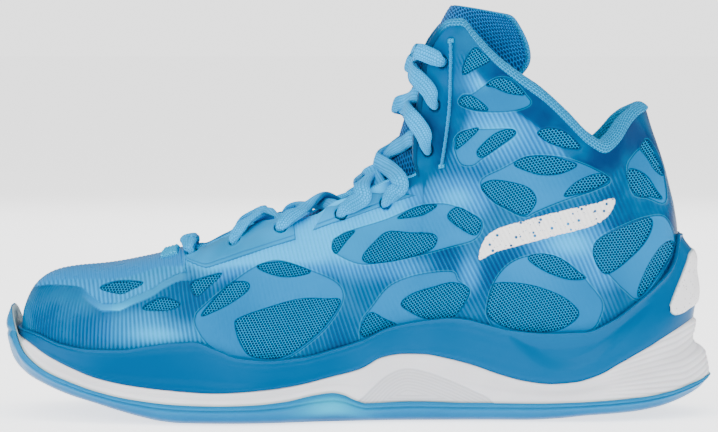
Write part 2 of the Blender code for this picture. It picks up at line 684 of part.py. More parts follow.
def tongue_grid():
    k = np.array(TONGUE, float)
    ts = np.array([0, .05, .12, .2, .28, .36, .44, .52, .6, .68, .76, .84, .91, .96, 1.0])
    cx, cz, hw, sw, an = (pchip(k[:, (0, c)], ts) for c in range(1, 6))
    w = np.array([-1, -.8, -.55, -.28, 0, .28, .55, .8, 1.0])
    out = []
    for t, x, z, h, d, a in zip(ts, cx, cz, hw, sw, an):
        f = 1.0 if t < 0.85 else 1 - 0.24 * ((t - 0.85) / 0.15) ** 2.2
        row = []
        for q in w:
            q = q * f
            dep = d * abs(q) ** 2.1
            y = h * math.sin(q * 1.25) / math.sin(1.25)
            row.append([x + dep * math.cos(math.radians(a)), y + float(pchip(CENTRE, x)),
                        z + dep * math.sin(math.radians(a))])
        out.append(row)
    return np.array(out), ts, w


def open_normals(g):
    du = np.gradient(g, axis=0)
    dv = np.gradient(g, axis=1)
    n = np.cross(du, dv)
    return n / np.linalg.norm(n, axis=2)[:, :, None]


def slab(name, g, n, d0, d1, kind):
    a = g - n * np.asarray(d0)[..., None]
    b = g - n * np.asarray(d1)[..., None]
    r, c = g.shape[:2]
    pts = list(a.reshape(-1, 3)) + list(b.reshape(-1, 3))
    faces = []
    for i in range(r - 1):
        for j in range(c - 1):
            q = (i * c + j, i * c + j + 1, (i + 1) * c + j + 1, (i + 1) * c + j)
            for f in ((q[0], q[1], q[2]), (q[0], q[2], q[3])):
                faces.append(f)
                faces.append(tuple(reversed([k + r * c for k in f])))
    rim = [j for j in range(c)] + [i * c + c - 1 for i in range(1, r)]
    rim += [(r - 1) * c + j for j in range(c - 2, -1, -1)] + [i * c for i in range(r - 2, 0, -1)]
    for k, p in enumerate(rim):
        q = rim[(k + 1) % len(rim)]
        faces.append((q, p, p + r * c, q + r * c))
    return make(name, pts, faces, kind)


def build_tongue():
    g, ts, w = tongue_grid()
    n = open_normals(g)
    out = np.array([math.cos(math.radians(160)), 0, 0.3])
    if (n[len(ts) // 2, 4] @ out) < 0:
        n = -n
    tf = np.outer(pchip([(0, 1.2), (0.3, 2.2), (0.6, 3.8), (0.9, 4.6), (1, 3.6)], ts),
                  pchip([(-1, 0.4), (-0.7, 0.85), (0, 1), (0.7, 0.85), (1, 0.4)], w))
    zero = np.zeros(g.shape[:2])
    slab("tongue_mesh", g, n, zero, zero + 0.8, "mesh")
    slab("tongue_foam", g, n, zero + 1.1, zero + 1.1 + tf, "foam")
    slab("tongue_lining", g, n, zero + 1.4 + tf, zero + 2.2 + tf, "lining")
    ring = []
    for j in range(g.shape[1]):
        top, low = g[-1, j], g[-2, j]
        up = (top - low) / np.linalg.norm(top - low)
        m = n[-1, j]
        total = 2.2 + tf[-1, j]
        base = top + up * 0.5
        ring.append([base, base + up * 1.6 - m * 0.3, base + up * 2.4 - m * total * 0.5,
                     base + up * 1.6 - m * (total - 0.3), base - m * total])
    pts = [p for r in ring for p in r]
    faces = []
    for k in range(len(ring) - 1):
        for a in range(5):
            b = (a + 1) % 5
            faces.append((k * 5 + a, k * 5 + b, k * 5 + 5 + b, k * 5 + 5 + a))
    faces.append((4, 3, 2, 1, 0))
    e = (len(ring) - 1) * 5
    faces.append((e, e + 1, e + 2, e + 3, e + 4))
    make("tongue_binding", pts, faces, "collar")


def surface(s, dist, side):
    """Point and outward normal of the upper at an arc position and edge distance."""
    foot = foot_rail()
    order = list(range(0, COLUMNS + 1)) if side < 0 else [0] + list(range(N - 1, COLUMNS - 1, -1))
    ss = SS[order]

    def at(s1, d1):
        f = np.array([np.interp(s1, ss, foot[order, k]) for k in range(3)])
        nn = np.array([np.interp(s1, ss, NX[order]), np.interp(s1, ss, NY[order])])
        c = column(s1, side, f, nn, np.linspace(0, 1, 161))[::-1]
        run = np.concatenate([[0], np.cumsum(np.linalg.norm(np.diff(c, axis=0), axis=1))])
        return np.array([np.interp(d1, run, c[:, k]) for k in range(3)])
    p = at(s, dist)
    du = at(s + 1.0, dist) - at(s - 1.0, dist)
    dv = at(s, dist + 1.0) - at(s, max(dist - 1.0, 0))
    n = np.cross(du, dv) * (-1 if side < 0 else 1)
    n /= np.linalg.norm(n)
    if n[2] + 1.5 * n[1] * side < 0:
        n = -n
    return p, n, du / np.linalg.norm(du)


def cylinder(p, n, r, length, back, sides=8):
    t = np.cross(n, [1.0, 0.2, 0.1])
    t /= np.linalg.norm(t)
    b = np.cross(n, t)
    pts, faces = [], []
    for h in (-back, length):
        for k in range(sides):
            a = 2 * math.pi * k / sides
            pts.append(p + n * h + r * (t * math.cos(a) + b * math.sin(a)))
    for k in range(sides):
        j = (k + 1) % sides
        faces.append((k, j, sides + j, sides + k))
    faces.append(tuple(range(sides - 1, -1, -1)))
    faces.append(tuple(range(sides, 2 * sides)))
    return pts, faces


def eyelet_cutter():
    pts, faces = [], []
    for side in (-1, 1):
        for s, dist in EYELETS:
            p, n, _ = surface(s, dist, side)
            a, f = cylinder(p, n, EYELET_R, 3.5, 7.0)
            base = len(pts)
            pts += a
            faces += [tuple(i + base for i in q) for q in f]
    return make("cut_eyelets", pts, faces, "white")


def tongue_centre(x):
    k = np.array(TONGUE, float)
    return float(pchip(k[:, (1, 2)], x))


def spline(points, steps):
    """Catmull-Rom through rows of numbers."""
    p = np.array(points, float)
    p = np.concatenate([[2 * p[0] - p[1]], p, [2 * p[-1] - p[-2]]])
    out = []
    for i in range(1, len(p) - 2):
        for q in range(steps):
            t = q / steps
            a, b, c, d = p[i - 1], p[i], p[i + 1], p[i + 2]
            out.append(0.5 * ((2 * b) + (-a + c) * t + (2 * a - 5 * b + 4 * c - d) * t * t
                              + (-a + 3 * b - 3 * c + d) * t ** 3))
    out.append(p[-2])
    return np.array(out)


def sweep(name, rows, kind, sides=6):
    """Flat rounded lace along rows of (x, y, z, side vector, width, thickness)."""
    p = rows[:, :3]
    tan = np.gradient(p, axis=0)
    tan /= np.linalg.norm(tan, axis=1)[:, None]
    pts, faces = [], []
    for i in range(len(p)):
        sd = rows[i, 3:6] - (rows[i, 3:6] @ tan[i]) * tan[i]
        sd /= np.linalg.norm(sd)
        up = np.cross(tan[i], sd)
        w, t = rows[i, 6] / 2, rows[i, 7] / 2
        for k in range(sides):
            a = 2 * math.pi * k / sides
            c, s = math.cos(a), math.sin(a)
            pts.append(p[i] + sd * w * math.copysign(abs(c) ** 0.75, c)
                       + up * t * math.copysign(abs(s) ** 0.75, s))
    for i in range(len(p) - 1):
        for k in range(sides):
            j = (k + 1) % sides
            faces.append((i * sides + k, i * sides + j, (i + 1) * sides + j,
                          (i + 1) * sides + k))
    faces.append(tuple(range(sides - 1, -1, -1)))
    e = (len(p) - 1) * sides
    faces.append(tuple(range(e, e + sides)))
    return make(name, pts, faces, kind, 60)


# Arc position of the edge point the lace crosses on its way to each eyelet.
OVER_EDGE = [109.5, 137, 155.5, 181, 194.5, 212.6, 218.0, 221.6]


def lace_half(first):
    """Control rows of one lace half, from the first eyelet up to the eighth."""
    rows = []
    side = first
    k9 = np.array(TONGUE, float)

    def add(p, sd, w=LACE_W, t=LACE_T):
        rows.append([*p, *sd, w, t])
    for k, (s, dist) in enumerate(EYELETS):
        e, n, along = surface(s, dist, side)
        g, m, _ = surface(OVER_EDGE[k], 1.0, side)
        flap = k >= 5
        enters = k in (0, 7)
        low = 1.5 if k == 0 else -1.5 if k < 5 else -1.0
        u, um, _ = surface(s + low, 1.0, side)
        away = np.array([-1.0, 0, 0.1])
        near = g if enters else u
        if k > 0:
            lift = 5.6 if first < 0 else 2.7
            x0 = 0.5 * (old[0] + near[0])
            if k >= 5:
                z0 = 0.5 * (old[2] + near[2])
                cx = float(pchip(k9[:, (2, 1)], z0))
                mid = np.array([cx - lift, float(pchip(CENTRE, cx)), z0])
                outv = np.array([-1.0, 0, 0.2])
            else:
                mid = np.array([x0, float(pchip(CENTRE, x0)), tongue_centre(x0) + lift])
                outv = np.array([-0.3, 0, 1.0])
            sd = np.array([1.0, 0, 0.5]) if k < 5 else np.array([0.3, 0, 1.0])
            if k == 1:
                q1 = mid + (old - om * 4.5 - mid) * 0.5
                q1[1] = mid[1] - side * 3.0
            else:
                q1 = mid + (old - mid) * 0.35
                q1[2] += 1.0 if k < 6 else 0.0
                q1[1] = mid[1] - side * 9.0
            if enters:
                q2 = mid + (near - mid) * 0.35
                q2[1] = mid[1] + side * 9.0
            else:
                q2 = mid + ((u - um * 4.5 if k < 5 else u) - mid) * 0.5
                q2[1] = mid[1] + side * 8.0
            add(q1 + outv * 0.6, sd)
            add(mid, sd)
            add(q2 + outv * 0.4, sd)
        over = []
        if flap:
            over = [(g + m * 1.2 + away * 4.6, along), (0.5 * (g + e) + n * 3.4, along)]
        else:
            g2, m2, _ = surface(OVER_EDGE[k], 3.0, side)
            tip = (g - g2) / np.linalg.norm(g - g2)
            over = [(g + tip * 2.6 + m * 2.6, along), (g2 + m2 * 3.6, along)]
            if k > 0:
                g3, m3, _ = surface(0.5 * (OVER_EDGE[k] + s), 0.5 * dist + 1.0, side)
                over.append((g3 + m3 * 3.4, along))
        hole = [(e + n * 2.7 + (g - e) * 0.16, along, 5.0), (e + n * 0.8, along, 3.8, 2.0),
                (e - n * 2.8, along, 3.8, 2.0), (e - n * 5.7 + (u - e) * 0.25, along, 4.6)]
        if k < 7:
            hole.append((u - um * 6.2 + (np.array([-3.0, 0, 1.5]) if flap else 0), along))
        path = over + hole
        for row in path if enters else reversed(path):
            add(*row)
        old, om = (u, um) if k == 0 else (g, m)
        side = -side
    side = -side
    for x, y, z in ((36.5, 24.6, 151), (44.5, 25.6, 146.5), (52, 26.4, 139.5), (58.5, 26.6, 130), (62, 26.7, 121)):
        add((x, float(pchip(CENTRE, x)) + side * y, z), (0.55, 0, 0.83), 4.6, 2.0)
    return rows


def clear_of_tongue(rows, gap):
    """Lift lace rows that would sink into the tongue's outer face."""
    g, ts, w = tongue_grid()
    f = np.linspace(0, len(ts) - 1, 60)
    h = np.linspace(0, len(w) - 1, 41)
    fine = np.array([[np.interp(f, np.arange(len(ts)), g[:, j, k]) for j in range(len(w))]
                     for k in range(3)])
    fine = np.array([[np.interp(h, np.arange(len(w)), fine[k, :, i]) for i in range(60)]
                     for k in range(3)]).transpose(1, 2, 0)
    n = open_normals(fine)
    if n[35, 20, 0] > 0:
        n = -n
    q, m = fine.reshape(-1, 3), n.reshape(-1, 3)
    for r in rows:
        for _ in range(2):
            d = r[:3] - q
            i = int(np.argmin((d * d).sum(axis=1)))
            high = d[i] @ m[i]
            side = np.linalg.norm(d[i] - high * m[i])
            if high < gap and side < 3:
                r[:3] += m[i] * (gap - high)
    return rows


def build_lace():
    a = lace_half(-1)
    b = lace_half(1)
    bar = []
    x = a[0][0]
    for q, y in ((0.0, 8.0), (0.0, 0.0), (0.0, -8.0)):
        bar.append([x - 0.5, float(pchip(CENTRE, x)) + y, a[0][2] + 1.6 - abs(y) * 0.03,
                    1.0, 0, 0.2, LACE_W, LACE_T])
    rows = list(reversed(b)) + bar + a
    body = np.array(rows)
    steps = clear_of_tongue(spline(body, 2), 0.5 * LACE_T + 0.75)
    sweep("lace", steps, "lace")
    for end, step, word in ((0, 1, "lateral"), (-1, -2, "medial")):
        tip = body[end, :3]
        away = tip - body[step, :3]
        away /= np.linalg.norm(away)
        tube("aglet_" + word, [tip + away * 0.4, tip + away * 9, tip + away * 18], 1.3,
             "stay", 8)


def tube(name, path, r, kind, sides=6):
    p = np.array(path, float)
    rows = np.concatenate([p, np.tile([1.0, 0.2, 0.1], (len(p), 1)),
                           np.full((len(p), 2), 2 * r)], axis=1)
    return sweep(name, rows, kind, sides)


def build_cords():
    for side, name in ((-1, "ankle_cord_lateral"), (1, "ankle_cord_medial")):
        path = []
        for x, z in ((38.7, 160.5), (38.8, 152), (38.6, 142), (38.2, 131), (36.8, 119),
                     (34.9, 106.5)):
            y = side * (half_plan(x, z) + 1.15) + float(pchip(CENTRE, x))
            path.append((x, float(y), z))
        tube(name, path, 0.7, "stay")


def set_pivot(name, pivot):
    """Put a moving piece's origin on its joint axis without moving its mesh."""
    ob = bpy.data.objects[name]
    p = Vector([c * MM for c in pivot])
    ob.data.transform(Matrix.Translation(-p))
    ob.location = p


def main():
    for ob in list(bpy.data.objects):
        bpy.data.objects.remove(ob)
    grid = upper_grid()
    nrm = grid_normals(grid)
    t = pads(grid)
    _, lip = build_outsole()
    midsole = build_midsole(grid, lip)
    build_core(midsole)
    build_cage(grid)
    plate("strobel_board", 5.0, GAP, BOARD_T, "board")
    plate("sockliner", 5.8, 2 * GAP + BOARD_T, SOCK_T, "lining")
    rows = grid.shape[1] - 1
    vamp, heel = 121, 300
    holes = []

    def sheet(name, cells, d0, d1, kind, hole=False):
        ob = shell(name, grid, nrm, cells, d0, d1, kind)
        if hole:
            holes.append(ob)
    sheet("vamp_mesh", pick(0, vamp, 0, rows), *MESH, "mesh", True)
    for side, word in ((-1, "lateral"), (1, "medial")):
        sheet("quarter_mesh_" + word, pick(vamp, heel, 0, rows, side), *MESH, "mesh", True)
        low = pick(vamp, 200, 0, rows, side) + pick(200, 349, 0, rows - 1, side)
        sheet("quarter_film_" + word, low, *FILM, "film", True)
        sheet("eyestay_front_" + word, pick(107, 152, rows - 2, rows, side), *STAY,
              "stay", True)
        sheet("eyestay_rear_" + word, pick(160, 195, rows - 2, rows, side), *STAY,
              "stay", True)
    sheet("heel_mesh", pick(heel, 400, 0, rows), *MESH, "mesh")
    sheet("back_seam_tape", pick(349, 400, 0, rows - 1), *FILM, "film")
    sheet("toe_film", pick(0, 72, 0, 5), *FILM, "toe")
    sheet("vamp_film", pick(0, 72, 5, rows) + pick(72, vamp, 0, rows), *FILM, "film", True)
    sheet("vamp_loop", pick(88, 98, rows - 2, rows), -1.6, -0.5, "stay")
    sheet("toe_puff", pick(0, 55, 0, 5), PAD_START, PAD_START + 0.8, "stiff")
    sheet("heel_counter", pick(290, 400, 0, 3), PAD_START, PAD_START + 1.0, "stiff")
    sheet("vamp_lining", pick(0, 226, 0, rows), PAD_START + GAP + t,
          PAD_START + GAP + t + LINING_T, "lining", True)
    sheet("collar_lining", pick(226, 400, 0, rows), PAD_START + GAP + t,
          PAD_START + GAP + t + LINING_T, "collar", True)
    sheet("collar_foam", pick(236, 400, rows - 4, rows), PAD_START, PAD_START + t, "foam")
    build_binding(grid, nrm, t)
    build_tongue()
    cutter = eyelet_cutter()
    for ob in holes:
        bake(ob, [cutter], "MANIFOLD")
    bpy.data.objects.remove(cutter)
    build_lace()
    build_cords()
    for name in ("tongue_mesh", "tongue_foam", "tongue_lining", "tongue_binding"):
        set_pivot(name, TONGUE_PIVOT)
    set_pivot("sockliner", SOCK_PIVOT)


main()
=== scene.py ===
"""Looks of the left basketball high top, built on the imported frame.

Every piece is rebuilt densely from the same driving curves as the solids, in
millimetres, and given a node material. Toe -X, heel +X, outer side -Y, up +Z.
"""
import math

import bmesh
import bpy
import numpy as np
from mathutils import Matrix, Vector


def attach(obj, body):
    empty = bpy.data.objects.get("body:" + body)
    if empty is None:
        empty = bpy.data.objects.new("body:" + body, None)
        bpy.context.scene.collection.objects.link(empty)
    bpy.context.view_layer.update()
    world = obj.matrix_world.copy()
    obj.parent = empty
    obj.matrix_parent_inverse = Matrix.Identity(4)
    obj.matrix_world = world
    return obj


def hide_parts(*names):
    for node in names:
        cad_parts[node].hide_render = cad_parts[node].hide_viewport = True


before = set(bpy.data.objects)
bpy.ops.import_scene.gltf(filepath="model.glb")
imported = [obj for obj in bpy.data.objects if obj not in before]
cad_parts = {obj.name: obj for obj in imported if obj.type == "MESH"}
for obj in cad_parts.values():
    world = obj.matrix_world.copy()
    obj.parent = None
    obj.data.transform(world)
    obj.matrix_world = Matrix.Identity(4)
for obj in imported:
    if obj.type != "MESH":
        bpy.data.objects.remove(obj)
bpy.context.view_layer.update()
MM = 0.001
WHITE = (1.0, 1.0, 1.0, 1.0)

# Driving sizes in millimetres, the same as in the solids.
HALF = 152.0        # half the length of the plan outline
ARC = 355.0         # arc position of the heel, counted from the toe tip
GAP = 0.3
OUTSOLE_T = 4.2
PAD_START = 2.2     # depth of film and mesh, where the padding starts
LINING_T = 0.8
INNER = PAD_START + GAP + LINING_T    # depth of the lining's inner face, unpadded
BAND = 5.5          # evenly divided strip below the top edge of the upper
LACE_W = 6.4
LACE_T = 2.3
RIB_PITCH = 1.88    # between the ribs of the film
AIR_MESH = (2.1, 1.5)   # cell of the tongue's mesh, across and up
FAR = 9.0           # outline distances are cut off here

# Windows, patches, bar and painted reflections are drawn as an eye at this distance and
# height sees the shoe from the side, in a plane whose heights start OUTLINE_LIFT below the ground.
EYE_DISTANCE = 1400.0
EYE_HEIGHT = 160.0
OUTLINE_LIFT = 6.4

# Inset of the outsole's brim: arc position and the value there.
LIP = [(0, 2.6), (16, 2.2), (27, 1.0), (45, 0.8), (355, 0.8)]
SIDES = ((-1, "lateral"), (1, "medial"))

# Curves along the shoe: x and the value there.
HALF_WIDTH = [(-152, 57), (-130, 57.8), (-110, 58.4), (-85, 57.6), (-60, 55.1),
              (-40, 51.1), (-10, 42.1), (20, 38.0), (50, 39.3), (80, 44.6),
              (110, 50.6), (130, 49.9), (152, 45)]
CENTRE = [(-152, 7), (-130, 4.5), (-110, 3), (-85, 1.5), (-60, -1), (-40, -2.2),
          (-10, -2), (20, -1.2), (50, -0.3), (80, 0.8), (110, 2), (130, 2.5), (152, 2.5)]
BOTTOM = [(-152, 25), (-146, 19.5), (-134, 14.3), (-121, 10), (-111, 7.5), (-100, 4.5),
          (-92, 2.5), (-82, 0.6), (-74, 0), (70, 0), (84, 0.6), (96, 1.8), (116, 3),
          (127, 4.5), (137, 7.2), (146, 10.8), (152, 15.5)]
OUTSOLE_TOP = [(-152, 48), (-149.5, 46), (-147.5, 40), (-145.5, 34), (-143, 28.6),
               (-139.3, 24.8), (-132, 20.2), (-121, 16.2), (-110, 12.9), (-94.6, 9.9),
               (-75, 8.1), (-60, 7.8), (-45.6, 8.1), (-30.5, 9.4), (-17.6, 11.9),
               (-10.8, 12.6), (-6, 11.6), (-1.7, 9.5), (3.4, 7.8), (23, 8.3), (44, 7.7),
               (75, 7.5), (91, 7.9), (106, 8.7), (122, 9.8), (132, 11.4), (143, 14.4),
               (151, 16.9)]
RAND_LINE = [(-147, 35), (-140.6, 31.8), (-132, 26.9), (-121, 22.1), (-110, 18.3),
             (-97, 15.8), (-81, 14.1), (-60, 13.0), (-40, 14.1), (-26, 15.8),
             (-10.8, 19.2), (1, 22.2), (10.8, 27.1), (19.4, 28.3), (27.5, 28.1),
             (37, 26.4), (48, 23.5), (60, 19.3), (71, 16.5), (81, 15.4), (91, 16.1),
             (101, 18.9), (111, 24.1), (122, 29.7), (132, 35.2), (141.5, 40.3), (144, 41.5)]
RAND_TOP = [(-146, 37), (-137.6, 35.6), (-125.6, 31.6), (-112.7, 30), (-99, 30.3),
            (-88, 32.1), (-76, 33.7), (-68, 34.1), (-59, 31), (-50, 27.6), (-37, 26.4),
            (-23, 27.5), (-11, 30.4), (1, 34.1), (13, 39.5), (26.5, 42), (39, 43.2),
            (46, 42.5), (54, 40.4), (65, 37.8), (80, 36.7), (96, 37.2), (106, 41.1),
            (116.5, 47.9), (127, 56.6), (134, 66), (137.5, 77)]
FOOTBED = [(-145, 31.5), (-130, 28), (-100, 23), (-60, 19), (-30, 18.8), (0, 21.5),
           (40, 26), (80, 29.5), (110, 31), (145, 32)]
# Curves round the shoe: arc position and the value there.
RIM_IN = [(0, 7.4), (40, 7.0), (118, 6.5), (200, 6.5), (280, 8), (320, 12), (355, 15)]
# Top rail of the upper: arc position, x, half-width from the centre line, z.
TOP = [(0, -116, 0, 62.2), (30, -112.5, 0, 62.9), (50, -107, 0, 63.5), (67, -100, 0, 64.7),
       (82, -91, 0, 66.6), (95, -82, 0, 69.0), (104, -74, 0, 71.0), (109, -72.3, 6, 70.8),
       (115, -67, 12.5, 71.0), (123, -57.5, 17.5, 75.2), (133, -46, 20, 81),
       (146, -33, 22, 84.4), (155, -24, 23, 84.8), (162, -17.5, 23.5, 86.4),
       (170, -10, 24.2, 91.6), (179, 0, 25, 94.6), (186, 7, 25.6, 97.8),
       (192, 14, 26.4, 100.6), (197, 20, 27, 101.4), (201, 25, 27.8, 104),
       (205, 23.6, 28, 110), (209, 24, 28, 119), (213, 25.4, 28, 130.4),
       (217, 27, 28.3, 143), (221, 28.8, 28.8, 154), (225, 32.5, 29.8, 161.5),
       (229, 38, 31.6, 167), (233, 43, 33.2, 167.4), (238, 48.5, 34.6, 161.6),
       (245, 57, 36.1, 152.4), (253, 68, 37.5, 143.8), (262, 78, 38.5, 136.8),
       (271, 88, 38.5, 127.6), (281, 97, 36.8, 119.2), (292, 104, 33.5, 115.6),
       (302, 109.5, 28.5, 119.6), (312, 114, 22.5, 126.0), (322, 118, 17, 129.6),
       (335, 121.5, 10, 131), (345, 122.8, 5, 131.4), (355, 123.3, 0, 131.5)]
ENTRY = [(165, -70), (186, -66), (197, -54), (201, -38), (205, -26), (209, -22), (213, -24),
         (217, -30), (221, -40), (225, -54), (229, -70), (233, -82), (238, -90),
         (245, -97), (262, -104), (281, -106), (292, -101), (302, -92), (312, -74),
         (322, -60), (335, -70), (355, -82)]
ENTRY_L = [(165, 14), (201, 9), (205, 11), (209, 14), (213, 17), (217, 20), (221, 24),
           (229, 32), (238, 34), (262, 34), (302, 26), (355, 34)]
BULGE = [(0, 0), (90, 0.5), (150, 2.5), (190, 3.5), (220, 2.5), (260, 1.5), (300, 3),
         (325, 3.2), (355, 2.8)]
# Arc position and distance from the top edge of each eyelet.
EYELETS = [(110.5, 11.5), (128, 12.0), (147, 10.5), (172.5, 8.0), (189, 8.5), (209.6, 9.0),
           (215.8, 9.0), (223.0, 9.0)]
# Tongue, from its base up: share of length, x, z, half-width, sweep back at the edge, angle.
TONGUE = [(0.0, -75, 63.6, 18, 4, -88), (0.09, -63, 66.2, 22, 7, -84),
          (0.2, -46, 75.0, 27, 12, -70), (0.33, -25, 83.6, 27, 15, -66),
          (0.44, -8, 90.6, 24.5, 16, -60), (0.53, 4.5, 98.0, 22.5, 17, -48),
          (0.62, 14.0, 109, 22, 19, -30), (0.72, 20.0, 126, 22.5, 23, -16),
          (0.82, 24.5, 143, 24, 32, -12), (0.91, 30.8, 158, 25.5, 44, -8),
          (1.0, 39.6, 174.8, 27, 45, -12)]
# Arc position of the edge point the lace crosses on its way to each eyelet.
OVER_EDGE = [109.5, 137, 155.5, 181, 194.5, 212.6, 218.0, 221.6]
WINDOWS = [
    [(-72, 60), (-69.5, 63), (-58.5, 66), (-65.5, 59), (-69.5, 56)],
    [(-67.5, 48), (-60, 57), (-54, 62), (-47.5, 62), (-47.5, 58.5), (-55, 53), (-63, 49)],
    [(-43.5, 69), (-34.5, 71), (-27, 69.5), (-20.5, 66.5), (-29, 64.5), (-37, 65.5)],
    [(-53, 44), (-50.5, 47), (-38, 51.5), (-25, 55), (-14, 55), (-7.5, 54), (-14, 43.5), (-23.5, 35),
     (-33.5, 29.5), (-45.5, 30), (-50.5, 35.5)],
    [(-11, 77.5), (-10, 81), (-1.5, 84.5), (-5, 80), (-9.5, 74.5)],
    [(2, 73.5), (7.5, 80), (13, 84), (22.5, 83.5), (32, 83), (34, 80), (30, 75.5), (16, 71.5),
     (4.5, 70.5)],
    [(17, 90), (25, 94.5), (34, 95.5), (28.5, 91.5), (21.5, 90)],
    [(38.5, 90.5), (42.5, 94.5), (48, 92), (53, 88), (50.5, 82.5), (44, 85.5)],
    [(53, 103), (57, 106), (64.5, 105.5), (73, 103), (76.5, 98.5), (75.5, 94.5), (71.5, 91), (64, 94),
     (58.5, 97)],
    [(88.5, 99.5), (94, 105.5), (103.5, 109), (107.5, 106), (100.5, 102), (93.5, 100)],
    [(18.5, 53), (23, 57), (32, 60), (41, 62), (48, 58.5), (43, 49), (38, 46.5), (29, 46.5),
     (21.5, 50)],
    [(1, 41.5), (5, 49), (11, 46.5), (16.5, 43.5), (9, 41), (3, 38.5)],
    [(55.5, 51), (57.5, 59.5), (61, 62), (74, 61), (87, 56.5), (94, 51), (94.5, 47), (87.5, 42),
     (77.5, 40.5), (64.5, 42.5), (57, 46.5)],
    [(73, 72.5), (78.5, 74.5), (87, 72.5), (93.5, 67.5), (98, 64), (90.5, 63.5), (80.5, 67)],
    [(101, 76.5), (104, 81), (115, 86.5), (125, 90), (126, 85), (120.5, 76), (108, 66), (103, 69.5)],
    [(135, 80), (135, 75), (128.5, 64.5), (121.5, 56), (120.5, 59.5), (124.5, 69), (130, 77.5)],
    [(121, 120), (124, 123.5), (128, 116.5), (131, 108.5), (127.5, 110.5), (124, 116)],
    [(115, 109), (118, 111), (124, 108), (128, 102), (130.5, 98), (125.5, 99), (121.5, 99),
     (117.5, 102)],
    [(67, 113), (72, 116), (81.5, 116.5), (88.5, 115), (94, 112.5), (87, 109), (78.5, 108.5),
     (71.5, 110.5)],
    [(77, 126.5), (81.5, 128.5), (87.5, 127.5), (92, 124.5), (95.5, 120), (89.5, 120), (81.5, 122.5)],
    [(42, 120.5), (42.5, 125), (46.5, 127.5), (52, 128.5), (47.5, 123.5), (42.5, 119.5)],
    [(51, 118), (54, 122), (59.5, 126.5), (65.5, 128), (67.5, 126), (61, 121), (53.5, 116)],
    [(55, 147), (60, 150), (66, 148.5), (71.5, 143), (64.5, 143.5), (58.5, 146)],
    [(43.5, 139), (45, 142), (49.5, 142), (56, 136.5), (50, 136.5)],
    [(45, 151.5), (46, 157.5), (50, 163), (53, 161), (56.5, 157.5), (50.5, 154)],
    [(-111, 59.5), (-103, 62.5), (-92.5, 62), (-98, 58.5), (-102.5, 57)],
    [(-92.5, 50.5), (-88.5, 54), (-83, 55.5), (-76.5, 52.5), (-82.5, 50)],
]
PATCHES = [
    [(-70, 47), (-66.5, 51.5), (-52.5, 63), (-43.5, 69), (-34, 71.5), (-20, 67), (-9.5, 62),
     (-6.5, 56), (-9.5, 48.5), (-17, 39.5), (-29, 30.5), (-41.5, 25.5), (-51.5, 28), (-63, 34),
     (-69, 41.5)],
    [(-11.5, 77), (-7.5, 82.5), (-1.5, 85), (11.5, 89), (25, 94.5), (35.5, 96), (43, 94.5), (48.5, 92),
     (53.5, 88), (50.5, 81), (39.5, 77.5), (22.5, 73), (11.5, 71), (1.5, 70), (-7, 73)],
    [(1.5, 45), (6, 51.5), (13, 60), (22.5, 64.5), (33.5, 66.5), (41, 66.5), (43, 63), (48, 58.5),
     (44.5, 52), (38.5, 45.5), (22.5, 42.5), (9.5, 38.5), (1.5, 36.5)],
    [(55.5, 51), (57.5, 59.5), (61.5, 66.5), (67.5, 71.5), (76, 74), (84.5, 73.5), (93.5, 68),
     (100.5, 60), (105, 53.5), (104, 47), (100, 41.5), (87, 38.5), (69.5, 39.5), (60, 42), (56, 47)],
    [(101, 76.5), (104, 81.5), (115, 87), (123.5, 90), (131, 90.5), (135, 84.5), (135.5, 78.5),
     (130.5, 66.5), (121.5, 55), (114.5, 59), (108, 65.5), (103, 69)],
    [(53, 103.5), (54, 107), (62, 111), (72, 116), (81.5, 116.5), (89, 115.5), (100, 111.5),
     (108, 106), (101.5, 102), (87, 97), (76, 92.5), (71.5, 90.5), (63.5, 94), (57, 98)],
    [(41.5, 120), (42, 124.5), (46.5, 127.5), (57, 128), (66, 128), (67.5, 125.5), (61, 120.5),
     (53.5, 115.5), (49, 112.5), (44, 113.5)],
    [(43.5, 139), (45, 142.5), (49, 143), (54, 146.5), (60, 150), (66, 149), (72, 142.5), (74, 139),
     (69, 136.5), (61, 135.5), (50.5, 136)],
    [(115.5, 111), (118.5, 117), (121.5, 120), (124, 123.5), (128.5, 116.5), (131.5, 106),
     (131.5, 96.5), (124.5, 98.5), (118, 100.5)],
]
# Slanted speckled bar printed on the outer side.
MARK = [(52, 72), (60, 75.5), (82, 81.5), (104, 88), (110.5, 98), (101, 96), (78, 90.5),
        (57, 83.5)]
# Lower edge of the muted ribbed cap over the toes, and the line above its plain strip.
VAMP_LINE = [(-150, 55), (-140.2, 59.8), (-132.9, 60.8), (-125, 60.6), (-119.5, 59.8),
             (-115.2, 56.3), (-109.2, 52.9), (-104, 52.9), (-96.8, 55.7), (-87.7, 59.8),
             (-83.9, 62.4), (-74.4, 66), (150, 66)]
VAMP_TOP = [(-150, 60), (-125, 63.2), (-102.8, 63.6), (-93.7, 65.9), (-82.7, 68.9), (150, 69)]
# Painted reflections of the soft lights on the film: centre, reach along and up, strength.
PAINTED_REFLECTIONS = [(54, 148, 9, 5, 0.8), (60, 126, 20, 12, 0.75), (91, 79, 16, 9, 0.85),
         (42, 98, 14, 9, 0.8), (-86, 39, 22, 6, 0.75), (-44, 76, 26, 7, 0.9),
         (20, 68, 14, 6, 0.35), (-2, 70, 16, 8, 0.4), (88, 120, 10, 6, 0.3),
         (-96, 47, 14, 5, 0.35), (104, 66, 9, 9, 0.4), (48, 66, 5, 9, 0.45)]
# Grey side panel of the midsole and hollow in the rand at the heel.
ARCH = [(-10, 8), (0, 11), (10.8, 21), (19.4, 25), (28.4, 24), (38.9, 20.4), (49.5, 15.7),
        (57.6, 11), (57, 4), (-8, 4)]
SCOOP = [(66, 39), (71, 32.5), (79, 26.5), (88, 24.2), (97, 26), (107, 32), (118, 42.5),
         (126, 53), (117, 49), (104, 41), (90, 37.8), (78, 38)]


